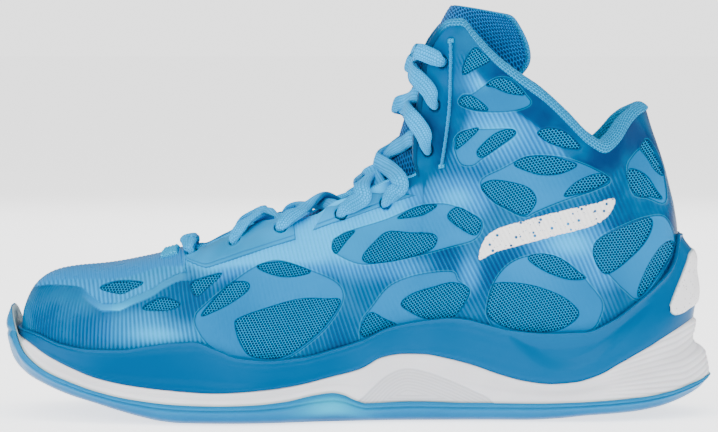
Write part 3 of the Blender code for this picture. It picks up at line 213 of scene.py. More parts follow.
def pchip(keys, x):
    """Smooth monotone curve through given (x, value) pairs."""
    k = np.array(keys, float)
    xs, ys = k[:, 0], k[:, 1]
    h = np.diff(xs)
    d = np.diff(ys) / h
    m = np.zeros(len(xs))
    m[0], m[-1] = d[0], d[-1]
    for i in range(1, len(xs) - 1):
        if d[i - 1] * d[i] > 0:
            w1, w2 = 2 * h[i] + h[i - 1], h[i] + 2 * h[i - 1]
            m[i] = (w1 + w2) / (w1 / d[i - 1] + w2 / d[i])
    x = np.clip(np.asarray(x, float), xs[0], xs[-1])
    i = np.clip(np.searchsorted(xs, x) - 1, 0, len(xs) - 2)
    t = (x - xs[i]) / h[i]
    a = ys[i] * (1 + 2 * t) * (1 - t) ** 2 + m[i] * h[i] * t * (1 - t) ** 2
    return a + ys[i + 1] * t * t * (3 - 2 * t) + m[i + 1] * h[i] * t * t * (t - 1)


def step(x, lo, hi):
    """Smooth ramp from 0 at lo to 1 at hi."""
    t = np.clip((np.asarray(x, float) - lo) / (hi - lo), 0, 1)
    return t * t * (3 - 2 * t)


def unit(v):
    """Vectors scaled to length 1."""
    return v / (np.linalg.norm(v, axis=-1, keepdims=True) + 1e-12)


def running(p, axis=0):
    """Length run along one axis of a grid of points, 0 at its start."""
    part = np.linalg.norm(np.diff(p, axis=axis), axis=-1)
    zero = np.zeros_like(np.take(part, [0], axis))
    return np.concatenate([zero, np.cumsum(part, axis)], axis)


def spline(points, steps, closed=False):
    """Catmull-Rom curve through rows of numbers, open or closed."""
    p = np.array(points, float)
    if closed:
        p = np.concatenate([p[-1:], p, p[:2]])
    else:
        p = np.concatenate([[2 * p[0] - p[1]], p, [2 * p[-1] - p[-2]]])
    t = (np.arange(steps) / steps)[:, None]
    a, b, c, d = (p[k:len(p) - 3 + k, None] for k in range(4))
    out = 0.5 * (2 * b + (c - a) * t + (2 * a - 5 * b + 4 * c - d) * t * t
                 + (3 * b - a - 3 * c + d) * t ** 3)
    out = out.reshape(-1, p.shape[1])
    return out if closed else np.concatenate([out, p[-2:-1]])


def outline(theta):
    """Plan outline at full width; theta runs toe tip, lateral, heel, medial."""
    x = -HALF * np.cos(theta)
    s = np.sin(theta)
    y = pchip(CENTRE, x) - np.sign(s) * pchip(HALF_WIDTH, x) * np.abs(s) ** 0.7
    return x, y


class Ring:
    """Stations round the plan outline: arc position, side and outward normal."""

    def __init__(self, columns, flap=1.8):
        th = np.linspace(0, math.pi, 6001)
        xa, ya = outline(th)
        xb, yb = outline(-th)
        run = 0.5 * (np.hypot(np.diff(xa), np.diff(ya)) + np.hypot(np.diff(xb), np.diff(yb)))
        arc = np.concatenate([[0], np.cumsum(run)])
        arc = arc * ARC / arc[-1]
        mid = 0.5 * (arc[1:] + arc[:-1])
        density = 1 + flap / (1 + ((mid - 213) / 16) ** 4) + 0.2 / (1 + (mid / 22) ** 4)
        cum = np.concatenate([[0], np.cumsum(density * np.diff(arc))])
        want = np.linspace(0, cum[-1], columns + 1)
        t = np.interp(want, cum, th)
        s = np.interp(t, th, arc)
        self.half = columns
        self.n = 2 * columns
        theta = np.concatenate([t, 2 * math.pi - t[1:-1][::-1]])
        self.s = np.concatenate([s, s[1:-1][::-1]])
        self.side = np.where(np.arange(self.n) <= columns, -1.0, 1.0)
        self.side[0] = 0.0
        self.side[columns] = 0.0
        self.x, self.y = outline(theta)
        xa, ya = outline(theta + 0.004)
        xb, yb = outline(theta - 0.004)
        length = np.hypot(xa - xb, ya - yb)
        self.nx, self.ny = (ya - yb) / length, -(xa - xb) / length

    def rail(self, d, z):
        """Plan outline moved inwards by d, at height z."""
        if isinstance(d, list):
            d = pchip(d, self.s)
        x = self.x - self.nx * d
        y = self.y - self.ny * d
        z = pchip(z, x) if isinstance(z, list) else np.broadcast_to(z, x.shape)
        return np.stack([x, y, z], 1)

    def spine(self, z, k=0.82):
        """Middle line under the foot, k times as long as the outline."""
        x = self.x * k
        zz = pchip(z, x) if isinstance(z, list) else z
        return np.stack([x, pchip(CENTRE, x), np.broadcast_to(zz, x.shape)], 1)

    def outward(self):
        return np.stack([self.nx, self.ny, 0 * self.nx], 1)[:, None]

    def foot(self):
        """Rail on which the upper stands."""
        r = self.rail(RIM_IN, FOOTBED)
        r[:, 2] += 1.0
        return r


def half_plan(x, z):
    """Half-width of the ankle part of the upper at x and height z."""
    th = np.arccos(np.clip(-x / HALF, -1, 1))
    low = pchip(HALF_WIDTH, x) * np.sin(th) ** 0.7 - pchip(RIM_IN, x + 180)
    high = pchip([(7, 25.6), (14, 26.4), (20, 27), (25, 28), (32, 29.6), (38, 31.6),
                  (43, 33.2), (57, 36.1), (68, 37.5), (78, 38.5), (88, 38.5),
                  (97, 36.8), (104, 33.5), (110, 28)], x)
    f = np.clip((z - 30) / 80, 0, 1)
    f = f * f * (3 - 2 * f)
    return low + (high - low) * f + 1.5 * np.sin(np.pi * np.clip((z - 30) / 90, 0, 1))


def top_point(s, side):
    """Points of the upper's top edge."""
    t = np.array(TOP, float)
    x = pchip(t[:, (0, 1)], s)
    z = pchip(t[:, (0, 3)], s)
    return np.stack([x, pchip(CENTRE, x) + side * pchip(t[:, (0, 2)], s), z], -1)


def curves(s, side, foot, nrm, v):
    """Columns of the upper for many stations, v = 0 at the foot rail, 1 at the top."""
    s, side = np.atleast_1d(s), np.atleast_1d(side)
    top = top_point(s, side)
    e = pchip([(0, 0.72), (60, 0.76), (110, 0.86), (200, 0.9)], s)[:, None]
    h = 1 - np.cos(v * math.pi / 2)[None] ** e
    g = np.sin(v * math.pi / 2)[None] ** e
    d = (top - foot)[:, None]
    a = foot[:, None] + d * np.stack([h, h, g], -1)
    swell = pchip(BULGE, s)[:, None] * np.sin(math.pi * v ** 0.85)[None]
    push = np.stack([nrm[:, 0, None] * swell, nrm[:, 1, None] * swell, 0 * swell], -1)
    a = a + push
    k = step(s, 160, 198)[:, None, None]
    ang = np.radians(pchip(ENTRY, s))
    ln = pchip(ENTRY_L, s)
    p0, p3 = top[:, None], foot[:, None]
    p1 = (top + np.stack([np.cos(ang) * ln, 0 * ln, np.sin(ang) * ln], 1))[:, None]
    p2 = p3 + np.array([0, 0, 1.0]) * (0.38 * (top[:, 2] - foot[:, 2]))[:, None, None]
    w = (1 - v)[None, :, None]
    b = p0 * (1 - w) ** 3 + 3 * p1 * w * (1 - w) ** 2 + 3 * p2 * w * w * (1 - w) + p3 * w ** 3
    b = b + push
    graph = side[:, None] * half_plan(b[..., 0], b[..., 2]) + pchip(CENTRE, b[..., 0])
    r = (1 - step(s, 258, 298))[:, None]
    low = np.clip((b[..., 2] - foot[:, None, 2]) / 12, 0, 1)
    b[..., 1] += (graph - b[..., 1]) * r * low
    return a * (1 - k) + b * k


def upper(ring, below, band, v=161):
    """Grid over the upper (station, row) from the foot up, with distance from the top."""
    c = curves(ring.s, ring.side, ring.foot(), np.stack([ring.nx, ring.ny], 1),
               np.linspace(0, 1, v))
    run = running(c, 1)
    total = run[:, -1]
    low = np.linspace(0, 1, below + 1)[None] * (total - BAND)[:, None]
    high = (total - BAND)[:, None] + np.linspace(0, 1, band + 1)[None, 1:] * BAND
    want = np.concatenate([low, high], 1)
    out = np.empty(want.shape + (3,))
    for i in range(ring.n):
        for k in range(3):
            out[i, :, k] = np.interp(want[i], run[i], c[i, :, k])
    return out, total[:, None] - want


def grid_normals(g):
    """Outward normals of a closed ring grid."""
    du = np.roll(g, -1, axis=0) - np.roll(g, 1, axis=0)
    dv = np.gradient(g, axis=1)
    n = np.cross(du, dv)
    bad = np.linalg.norm(n, axis=2) < 1e-6
    n = unit(n)
    for r in range(g.shape[1]):
        for i in np.nonzero(bad[:, r])[0]:
            n[i, r] = n[i, r - 1] if r else n[i - 1, r]
    return n


def blur_ring(a):
    """Smooth a closed ring of rows once."""
    return 0.25 * np.roll(a, 1, 0) + 0.5 * a + 0.25 * np.roll(a, -1, 0)


def blur_open(a, times):
    """Smooth an open line of rows in place, its ends held."""
    for _ in range(times):
        a[1:-1] = 0.25 * a[:-2] + 0.5 * a[1:-1] + 0.25 * a[2:]
    return a


def lin(r, g, b):
    """Surface colour from 0-255 display values; vivid blues are deepened for the film look."""
    c = [((k / 255 + 0.055) / 1.055) ** 2.4 if k > 10 else k / 255 / 12.92 for k in (r, g, b)]
    hue = (max(c) - min(c)) / (max(c) + 1e-6)
    t = min(max((hue - 0.25) / 0.35, 0.0), 1.0)
    k = 0.6 + 0.3 * min(max((c[1] - 0.42) / 0.2, 0.0), 1.0)
    deep = (0.0, k * max(1.42 * c[1] ** 1.66, 0.4 * c[1]),
            k * min(max(1.8 * c[2] ** 3.1, 0.44 * c[2]), 1.1))
    return tuple(p + (q - p) * t for p, q in zip(c, deep)) + (1.0,)


class Mat:
    """A node material put together a socket at a time."""

    def __init__(self, name, rough=0.5, metal=0.0, tint=(0.0, 0.45, 1.0, 1.0)):
        self.m = bpy.data.materials.new(name)
        self.m.use_nodes = True
        self.t = self.m.node_tree
        self.b = self.t.nodes["Principled BSDF"]
        self.b.inputs["Roughness"].default_value = rough
        self.b.inputs["Metallic"].default_value = metal
        self.b.inputs["Specular IOR Level"].default_value = 0.17
        self.b.inputs["Specular Tint"].default_value = tint
        self.co = self.t.nodes.new("ShaderNodeTexCoord").outputs["Object"]

    def put(self, socket, v):
        if isinstance(v, bpy.types.NodeSocket):
            self.t.links.new(v, socket)
        else:
            socket.default_value = v

    def set(self, name, v):
        self.put(self.b.inputs[name], v)

    def math(self, op, a, b=0.0, c=0.0):
        n = self.t.nodes.new("ShaderNodeMath")
        n.operation = op
        for k, v in enumerate((a, b, c)):
            self.put(n.inputs[k], v)
        return n.outputs[0]

    def mul(self, a, b):
        return self.math("MULTIPLY", a, b)

    def add(self, a, b):
        return self.math("ADD", a, b)

    def ramp(self, x, lo, hi, a=0.0, b=1.0):
        n = self.t.nodes.new("ShaderNodeMapRange")
        n.interpolation_type = "SMOOTHSTEP"
        for k, v in enumerate((x, lo, hi, a, b)):
            self.put(n.inputs[k], v)
        return n.outputs[0]

    def attr(self, name):
        n = self.t.nodes.new("ShaderNodeAttribute")
        n.attribute_name = name
        return n.outputs["Fac"]

    def mix(self, f, a, b):
        n = self.t.nodes.new("ShaderNodeMix")
        n.data_type = "RGBA"
        self.put(n.inputs[0], f)
        self.put(n.inputs[6], a)
        self.put(n.inputs[7], b)
        return n.outputs[2]

    def noise(self, size, detail=2.0, rough=0.5):
        """Noise with blobs about size mm across."""
        n = self.t.nodes.new("ShaderNodeTexNoise")
        self.put(n.inputs["Vector"], self.co)
        n.inputs["Scale"].default_value = 1000.0 / size
        n.inputs["Detail"].default_value = detail
        n.inputs["Roughness"].default_value = rough
        return n.outputs[0]

    def spots(self, size):
        n = self.t.nodes.new("ShaderNodeTexVoronoi")
        self.put(n.inputs["Vector"], self.co)
        n.inputs["Scale"].default_value = 1000.0 / size
        return n.outputs["Distance"]

    def wave(self, x, pitch):
        """Cosine from 0 to 1 along coordinate x, in mm."""
        c = self.math("COSINE", self.mul(x, 2 * math.pi / pitch))
        return self.math("MULTIPLY_ADD", c, 0.5, 0.5)

    def two_tone(self, size, a, b, detail=3.0):
        """Soft clouds of colours a and b, about size mm across."""
        return self.mix(self.ramp(self.noise(size, detail), 0.3, 0.7), a, b)

    def blotch(self, size, most, colour, other, detail=3.0, high=0.75):
        """Colour with a share, up to most, of another in clouds."""
        return self.mix(self.ramp(self.noise(size, detail), 0.3, high, 0.0, most), colour, other)

    def handled(self, size, spread, least, detail=3.0):
        """Roughness that varies in blobs about size mm across."""
        self.set("Roughness", self.add(self.mul(self.noise(size, detail), spread), least))

    def sheen(self):
        self.set("Sheen Weight", 0.12)
        self.set("Sheen Tint", (0.3, 0.7, 1.0, 1.0))

    def fuzz(self, height, size, share, depth):
        """Bump of the given height with fine noise on it."""
        rough = self.mul(self.noise(size, 2.0), share)
        self.set("Normal", self.bump(self.add(height, rough), depth))

    def flip(self, a):
        """One minus a."""
        return self.add(1.0, self.mul(a, -1.0))

    def size_of(self, a, offset=0.0):
        """Distance of a from minus the offset."""
        return self.math("ABSOLUTE", self.add(a, offset) if offset else a)

    def bump(self, height, mm, normal=None):
        n = self.t.nodes.new("ShaderNodeBump")
        n.inputs["Distance"].default_value = mm * MM
        self.put(n.inputs["Height"], height)
        if normal is not None:
            self.put(n.inputs["Normal"], normal)
        return n.outputs[0]

    def cells(self, u, v, pu, pv, shift=0.5):
        """Rows of offset cells: 0 at a cell's middle, 1 at its border."""
        row = self.math("DIVIDE", v, pv)
        odd = self.mul(self.math("FLOOR", row), shift)
        a = self.math("FRACT", self.add(self.math("DIVIDE", u, pu), odd))
        b = self.math("FRACT", row)
        a = self.mul(self.math("ABSOLUTE", self.add(a, -0.5)), 2.0)
        b = self.mul(self.math("ABSOLUTE", self.add(b, -0.5)), 2.0)
        return self.math("MAXIMUM", a, b), self.add(self.mul(a, a), self.mul(b, b))


def film_material(name, deep, mid, light):
    """Ribbed film: print from deep to light with painted reflections, highlights and shade,
    matte patches, mesh windows, paint mark.
    """
    m = Mat(name, 0.28)
    print_and_reflection, rib, amp = m.attr("print_and_reflection"), m.attr("rib"), m.attr("amp")
    win, pat, mark, top = m.attr("win"), m.attr("pat"), m.attr("mark"), m.attr("vamp")
    u, v = m.attr("gu"), m.attr("gv")
    crest = m.wave(rib, 1.0)
    low = m.mix(m.ramp(print_and_reflection, 0.0, 0.5), deep, mid)
    base = m.mix(m.ramp(print_and_reflection, 0.45, 1.0), low, light)
    cloud = m.ramp(m.noise(26, 3.0), 0.35, 0.7, 0.0, 0.16)
    base = m.mix(cloud, base, light)
    # painted highlight on the rib crests, stronger where the painted reflections are
    glow = m.mul(m.mul(crest, amp), m.ramp(print_and_reflection, -0.1, 0.8, 0.10, 0.62))
    base = m.mix(glow, base, lin(84, 190, 242))
    # painted shade in the grooves between the ribs
    dark = m.mul(m.mul(m.flip(crest), amp), 0.2)
    base = m.mix(dark, base, deep)
    muted = m.mix(m.mul(m.size_of(crest, -0.5), 0.5), lin(62, 162, 222), lin(102, 191, 240))
    base = m.mix(top, base, muted)
    patch = m.two_tone(60, lin(30, 166, 222), lin(6, 150, 212), 1.0)
    # the painted reflections lighten the patches too
    patch = m.mix(m.mul(m.ramp(print_and_reflection, 0.3, 1.0), 0.35), patch, lin(50, 180, 226))
    inside = m.ramp(pat, 0.12, -0.12)
    base = m.mix(inside, base, patch)
    # painted shade along the patch border and a painted highlight just outside it, on the raised rim
    rim = m.mul(m.ramp(m.size_of(pat), 0.42, 0.12), 0.55)
    base = m.mix(rim, base, lin(0, 108, 170))
    shine = m.mul(m.ramp(m.size_of(pat, -0.5), 0.3, 0.1), 0.12)
    base = m.mix(shine, base, lin(130, 212, 244))
    edge, round_ = m.cells(v, u, 1.1, 1.28)
    thread = m.ramp(edge, 0.62, 0.80)
    twist = m.wave(m.add(u, v), 0.55)
    yarn = m.mix(m.mul(twist, 0.5), lin(86, 178, 226), lin(40, 128, 190))
    mesh = m.mix(thread, m.mix(m.ramp(round_, 0.0, 0.7), lin(2, 44, 98), lin(8, 78, 142)), yarn)
    hole = m.ramp(win, 0.12, -0.12)
    base = m.mix(hole, base, mesh)
    # painted shade along the border of the sunk window
    lip = m.mul(m.ramp(m.size_of(win), 0.45, 0.12), 0.6)
    base = m.mix(lip, base, lin(0, 70, 130))
    speck = m.add(m.ramp(m.spots(3.1), 0.22, 0.18), m.ramp(m.spots(1.3), 0.16, 0.12))
    ragged = m.add(mark, m.mul(m.add(m.noise(1.2, 2.0), -0.5), 0.9))
    paint = m.mul(m.ramp(ragged, 0.15, -0.15), m.flip(speck))
    paint = m.math("MAXIMUM", paint, 0.0)
    base = m.mix(paint, base, lin(236, 234, 232))
    m.set("Base Color", base)
    soft = m.math("MAXIMUM", inside, hole)
    rough = m.add(m.ramp(soft, 0.0, 1.0, 0.24, 0.5), m.mul(m.noise(9, 2.0), 0.08))
    m.set("Roughness", m.math("MAXIMUM", rough, m.mul(paint, 0.6)))
    m.set("Coat Weight", m.ramp(soft, 0.0, 1.0, 0.05, 0.0))
    m.set("Coat Roughness", 0.12)
    flat = m.add(1.0, m.mul(soft, -0.9))
    fine = m.add(m.mul(m.mul(m.mul(crest, amp), flat), 0.5), m.mul(m.mul(thread, hole), 0.6))
    fine = m.add(fine, m.mul(paint, 0.25))
    m.set("Normal", m.bump(fine, 0.33, m.bump(m.noise(0.6, 2.0), 0.02)))
    return m.m


def knit_material(name, a, b, pu=1.25, pv=0.95, depth=0.25):
    """Fine knit or air mesh with offset cells, in the piece's own mm coordinates."""
    m = Mat(name, 0.85)
    _, round_ = m.cells(m.attr("gu"), m.attr("gv"), pu, pv)
    body = m.ramp(round_, 0.35, 1.1)
    m.set("Base Color", m.blotch(14, 0.35, m.mix(body, b, a), b))
    m.sheen()
    m.fuzz(body, 0.35, 0.4, depth)
    return m.m


def lace_material():
    """Woven lace: offset stitches and fine cross ribs."""
    m = Mat("lace_weave", 0.8)
    u = m.attr("gu")
    _, round_ = m.cells(u, m.attr("gv"), 0.95, 0.8)
    body = m.ramp(round_, 0.2, 1.2)
    c = m.mix(m.mul(body, 0.7), lin(74, 194, 238), lin(20, 148, 208))
    m.set("Base Color", m.blotch(8, 0.45, c, lin(36, 166, 218)))
    m.sheen()
    h = m.add(m.mul(m.flip(body), 0.6), m.mul(m.wave(u, 0.95), 0.4))
    m.fuzz(h, 0.3, 0.3, 0.22)
    return m.m


def plain_material(name, a, b, rough, size=12.0, grain=0.5, depth=0.04, sss=0.0):
    """Moulded surface: soft colour variation, fine grain and handled roughness."""
    m = Mat(name, rough)
    m.set("Base Color", m.two_tone(size, a, b))
    m.handled(size * 0.5, 0.16, rough - 0.08)
    m.set("Normal", m.bump(m.noise(grain, 3.0, 0.6), depth))
    if sss:
        m.set("Subsurface Weight", sss)
        m.set("Subsurface Radius", (0.2, 0.6, 0.9))
        m.set("Subsurface Scale", 0.004)
    return m.m


def fabric_material(name, a, b, pitch, depth=0.12):
    """Woven cloth seen on hidden or inner pieces, in object space."""
    m = Mat(name, 0.9)
    s = m.t.nodes.new("ShaderNodeSeparateXYZ")
    m.put(s.inputs[0], m.co)
    u = m.mul(m.add(s.outputs[0], s.outputs[1]), 1000.0)
    v = m.mul(m.add(s.outputs[2], m.mul(s.outputs[1], -1.0)), 1000.0)
    _, round_ = m.cells(u, v, pitch, pitch * 0.8)
    f = m.ramp(round_, 0.3, 1.2)
    m.set("Base Color", m.mix(m.add(m.mul(f, 0.7), m.mul(m.noise(15, 2.0), 0.3)), a, b))
    m.fuzz(f, 0.4, 0.4, depth)
    return m.m


def collar_material():
    """Light collar knit with small cells; smooth deep film down the flap fronts."""
    m = Mat("collar_knit", 0.8)
    front = m.attr("front")
    _, round_ = m.cells(m.attr("gu"), m.attr("gv"), 1.5, 1.2)
    body = m.mul(m.ramp(round_, 0.45, 1.15), m.flip(front))
    c = m.mix(body, lin(44, 152, 210), lin(98, 194, 236))
    c = m.blotch(14, 0.3, c, lin(66, 170, 222))
    c = m.mix(front, c, lin(6, 112, 176))
    m.set("Base Color", c)
    m.set("Roughness", m.ramp(front, 0.0, 1.0, 0.85, 0.35))
    m.sheen()
    m.fuzz(body, 0.35, 0.3, 0.3)
    return m.m


def lay(name, pts, faces, mat, attrs=None, weld=0.0, flip=False):
    """Mesh from millimetre points and index faces, with float attributes per point."""
    pts = np.asarray(pts, float).reshape(-1, 3)
    faces = np.asarray(faces)
    if flip:
        faces = faces[:, ::-1]
    used = np.unique(faces)
    back = np.full(len(pts), -1)
    back[used] = np.arange(len(used))
    pts, faces = pts[used], back[faces]
    count, corners = faces.shape
    me = bpy.data.meshes.new(name)
    me.vertices.add(len(pts))
    me.vertices.foreach_set("co", (pts * MM).ravel())
    me.loops.add(count * corners)
    me.loops.foreach_set("vertex_index", faces.ravel().astype(np.int32))
    me.polygons.add(count)
    me.polygons.foreach_set("loop_start", (np.arange(count) * corners).astype(np.int32))
    me.update(calc_edges=True)
    for key, val in (attrs or {}).items():
        a = me.attributes.new(key, "FLOAT", "POINT")
        a.data.foreach_set("value", np.asarray(val, np.float32).ravel()[used])
    me.validate()
    me.shade_smooth()
    me.materials.append(mat)
    ob = bpy.data.objects.new(name, me)
    bpy.context.scene.collection.objects.link(ob)
    if weld:
        bm = bmesh.new()
        bm.from_mesh(me)
        bmesh.ops.remove_doubles(bm, verts=bm.verts, dist=weld * MM)
        bm.to_mesh(me)
        bm.free()
    return ob


def quads(n, m, wrap_n=False, wrap_m=False, mask=None):
    """Index quads of an n by m grid, optionally closed either way."""
    i = np.arange(n if wrap_n else n - 1)
    j = np.arange(m if wrap_m else m - 1)
    a, b = np.meshgrid(i, j, indexing="ij")
    if mask is not None:
        a, b = a[mask], b[mask]
    a, b = a.ravel(), b.ravel()
    c, d = (a + 1) % n, (b + 1) % m
    return np.stack([a * m + b, c * m + b, c * m + d, a * m + d], 1)


def piece(ob, nodes, body="shoe"):
    """Let an object ride on a body and stand for solids."""
    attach(ob, body)
    if nodes:
        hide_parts(*nodes)
    return ob


def distance(loop, u, v, far=9.0):
    """Signed distance to a closed outline, negative inside; far away it is far."""
    out = np.full(u.shape, far)
    lo, hi = loop.min(0) - far, loop.max(0) + far
    near = (u > lo[0]) & (u < hi[0]) & (v > lo[1]) & (v < hi[1])
    if not near.any():
        return out
    p = np.stack([u[near], v[near]], 1)
    best = np.full(len(p), 1e9)
    inside = np.zeros(len(p), bool)
    for a, b in zip(loop, np.roll(loop, -1, axis=0)):
        d = b - a
        t = np.clip(((p - a) @ d) / (d @ d + 1e-12), 0, 1)
        best = np.minimum(best, np.linalg.norm(p - a - t[:, None] * d, axis=1))
        cross = (a[1] > p[:, 1]) != (b[1] > p[:, 1])
        at = a[0] + (p[:, 1] - a[1]) * d[0] / (d[1] if abs(d[1]) > 1e-12 else 1e-12)
        inside ^= cross & (p[:, 0] < at)
    out[near] = np.minimum(np.where(inside, -best, best), far)
    return out


def side_view(p):
    """Where a point of the shoe is seen from the side, in the outlines' plane."""
    k = EYE_DISTANCE / (EYE_DISTANCE - np.abs(p[..., 1]))
    return p[..., 0] * k, EYE_HEIGHT + OUTLINE_LIFT + (p[..., 2] - EYE_HEIGHT) * k


def nearest(outlines, u, v, steps=5, far=FAR):
    """Signed distance to the nearest of several smooth outlines."""
    return np.minimum.reduce([distance(spline(w, steps, True), u, v, far) for w in outlines])


def hole_distance(p, holes):
    """Distance from points to the nearest eyelet."""
    near = [np.linalg.norm(p - e, axis=-1) for e in holes]
    return np.minimum.reduce(near + [np.full(p.shape[:-1], FAR)])


def eyelet_points():
    """Middle of every eyelet, outer side first."""
    return np.array([surface(s, dist, side)[0] for side, _ in SIDES for s, dist in EYELETS])


def pad_at(s, dist):
    """Thickness of the collar padding at an arc position and edge distance."""
    s, dist = np.broadcast_arrays(np.asarray(s, float), np.asarray(dist, float))
    big = pchip([(222, 0), (232, 1.6), (245, 4.0), (275, 5.8), (300, 6.0), (320, 5.5),
                 (355, 5.0)], s) * (s > 222)
    return big * pchip([(0, 0.7), (8, 0.9), (20, 1), (32, 0.9), (50, 0.35), (60, 0)], dist)


def skirt(s):
    """How far the collar roll reaches down over the film."""
    return pchip([(200, 1.7), (226, 1.6), (240, 2.0), (262, 2.5), (285, 3.2), (300, 3.4),
                  (318, 2.2), (355, 1.6)], s)


class Upper:
    """Fine grid over the upper with every field the film material reads."""

    def __init__(self):
        self.ring = Ring(760)
        self.g, self.d = upper(self.ring, 104, 8)
        self.s = self.ring.s[:, None] + 0 * self.d
        self.n = self.even_normals()
        self.u, self.v = side_view(self.g)
        self.holes = eyelet_points()
        self.draw()
        self.p = self.g + self.n * self.relief()[..., None]

    def even_normals(self):
        """Grid normals, made symmetrical where the two sides meet over the toe."""
        n = grid_normals(self.g)
        mirror = (self.ring.n - np.arange(self.ring.n)) % self.ring.n
        flat = (n + n[mirror] * [1, -1, 1]) / 2
        seam = (step(self.d, 3, 0) * (self.s < 107))[..., None]
        return unit(n * (1 - seam) + flat * [1, 0, 1] * seam)

    def draw(self):
        """Fields of the film: windows, patches, bar, ribs, and how light it is in print and in
        painted reflections.
        """
        s, d, u, v, x = self.s, self.d, self.u, self.v, self.g[..., 0]
        win, pat = nearest(WINDOWS, u, v), nearest(PATCHES, u, v)
        outer = self.ring.side[:, None] + 0 * u < 0
        mark = np.where(outer, nearest([MARK], u, v), FAR)
        # The muted cap over the toes and the plain strip along its lower edge.
        line = v - pchip(VAMP_LINE, u)
        vamp = step(line, -0.4, 0.4) * step(u, -72, -76)
        strip = step(line, -3.6, -3.2) * step(line, 0.1, -0.3) * step(u, -124, -110)
        strip = strip * step(u, -70, -76)
        dim = vamp * step(v - pchip(VAMP_TOP, u), -0.6, 0.6)
        # Areas without ribs: the edge of the throat and the front of the ankle flap.
        smooth_edge = np.maximum(step(d, 15.5, 12.5) * step(s, 197, 203),
                                 step(d, 4.0, 2.5) * step(s, 203, 198) * step(s, 104, 108))
        flap_edge = pchip([(90, -20), (98, 8), (106, 29), (119, 39.5), (132, 46.5), (146, 47),
                           (155, 44), (166, 41), (180, 41)], v)
        flap = step(u - flap_edge, 4, -3) * step(s, 186, 196)
        toe = step(x, -84, -108)
        # Ribs lean more towards the heel, and fan out over the toe.
        lean = np.radians(pchip([(-100, 6), (-60, 11), (-20, 16), (20, 24), (60, 27),
                                 (120, 22)], u))
        across = u * np.cos(lean) + (v - 40) * np.sin(lean)
        along = -u * np.sin(lean) + v * np.cos(lean)
        rib = across * (1 - toe) + (s - 178.0) * toe
        rib = np.where(vamp > 0.5, u + 0.10 * (v - 60), rib) / RIB_PITCH
        amp = (1 - smooth_edge) * (1 - strip) * (1 - 0.93 * flap) * (1 - 0.75 * step(x, 104, 116))
        amp = amp * (1 - 0.9 * step(pat, 0.3, -0.3) * step(pat, -FAR, -0.1))
        amp = amp * step(win, -0.1, 0.3)
        amp = amp * (1 - step(line, -9, -4) * toe * (1 - vamp) * 0.8) * step(s, 0, 16)
        # painted reflections of the soft lights on the film
        print_and_reflection = sum(a * np.exp(-((u - cu) / ru) ** 2 - ((v - cv) / rv) ** 2)
                   for cu, cv, ru, rv, a in PAINTED_REFLECTIONS)
        # painted reflection in a band along the throat edge between the eyestays
        print_and_reflection = print_and_reflection + step(s, 100, 108) * step(s, 202, 192) * step(d, 36, 14) * 0.95
        print_and_reflection = print_and_reflection + vamp * 0.55 + strip * 0.55
        print_and_reflection = print_and_reflection * (1 - 0.85 * smooth_edge * step(s, 200, 206))
        print_and_reflection = print_and_reflection * (1 - 0.9 * flap) + 0.16 * flap * step(v, 128, 150)
        print_and_reflection = print_and_reflection * (1 - 0.9 * step(s, 286, 300) * step(d, 26, 18))
        print_and_reflection = np.clip(print_and_reflection - 0.5 * step(s, 318, 345), 0, 1)
        self.strip = strip
        self.fields = {"win": win, "pat": pat, "mark": mark, "vamp": dim, "rib": rib,
                       "amp": amp, "print_and_reflection": print_and_reflection, "gu": across + along * 0.25,
                       "gv": along - 0.35 * across}

    def relief(self):
        """Height of the film over the grid: ribs, sunk windows, raised rims, eyelets."""
        win, pat = self.fields["win"], self.fields["pat"]
        x, z = self.g[..., 0], self.g[..., 2]
        crest = 0.5 + 0.5 * np.cos(2 * math.pi * self.fields["rib"])
        h = 0.26 * crest * self.fields["amp"] + 0.12
        h = h - 0.42 * step(win, 0.2, -0.3) + 0.22 * np.exp(-((pat - 0.3) / 0.5) ** 2)
        h = h + 0.35 * self.strip + 0.2 * np.exp(-((win - 0.4) / 0.5) ** 2)
        h = h - 3.0 * step(hole_distance(self.g, self.holes), 2.7, 2.1)
        wobble = np.sin(x * 0.21 + z * 0.13) * np.sin(z * 0.19 - x * 0.05 + self.s * 0.03)
        return h + 0.16 * wobble

    def cells(self, lo, hi, side=None, above=None, until=None):
        """Mask of cells between two arc positions, on one side, above or below a line."""
        r, m = self.ring, self.g.shape[1]
        mid = 0.5 * (r.s + np.roll(r.s, -1))
        which = np.where(np.arange(r.n) < r.half, -1, 1)
        ok = (mid >= lo) & (mid < hi)
        if side:
            ok &= which == side
        mask = np.repeat(ok[:, None], m - 1, axis=1)
        dist = 0.5 * (self.d[:, 1:] + self.d[:, :-1])
        mask &= ~((dist < skirt(mid)[:, None] - 0.8) & (mid[:, None] > 200.4))
        if above is not None:
            mask &= dist < above
        if until is not None:
            mask &= dist >= until
        return mask

    def sheet(self, name, mask, mat):
        """One panel of film."""
        n, m = self.g.shape[:2]
        return lay(name, self.p, quads(n, m, True, False, mask), mat, self.fields, 0.004)


def throat_edge(up, mat):
    """Rolled edge of the upper along the throat, from outside to inside."""
    r = up.ring
    out = []
    for side, word in SIDES:
        ids = [i for i in range(r.n) if r.side[i] == side and 103.5 < r.s[i] < 202.5]
        if side > 0:
            ids = ids[::-1]
        rows = []
        for i in ids:
            top, n = up.g[i, -1], up.n[i, -2]
            t = unit(top - up.g[i, -3])
            ring = [up.p[i, -1]]
            for a in np.linspace(0.15, 1.0, 7) * math.pi:
                ring.append(top - n * 1.65 * (1 - math.cos(a)) + t * 1.25 * math.sin(a))
            ring.append(top - n * 3.3 - t * 4.0)
            rows.append(ring)
        rows = np.array(rows)
        u = np.repeat(up.u[ids, -1][:, None], rows.shape[1], axis=1)
        out.append(lay("throat_edge_" + word, rows, quads(*u.shape), mat,
                       {"gu": u, "gv": running(rows, 1)}))
    return out


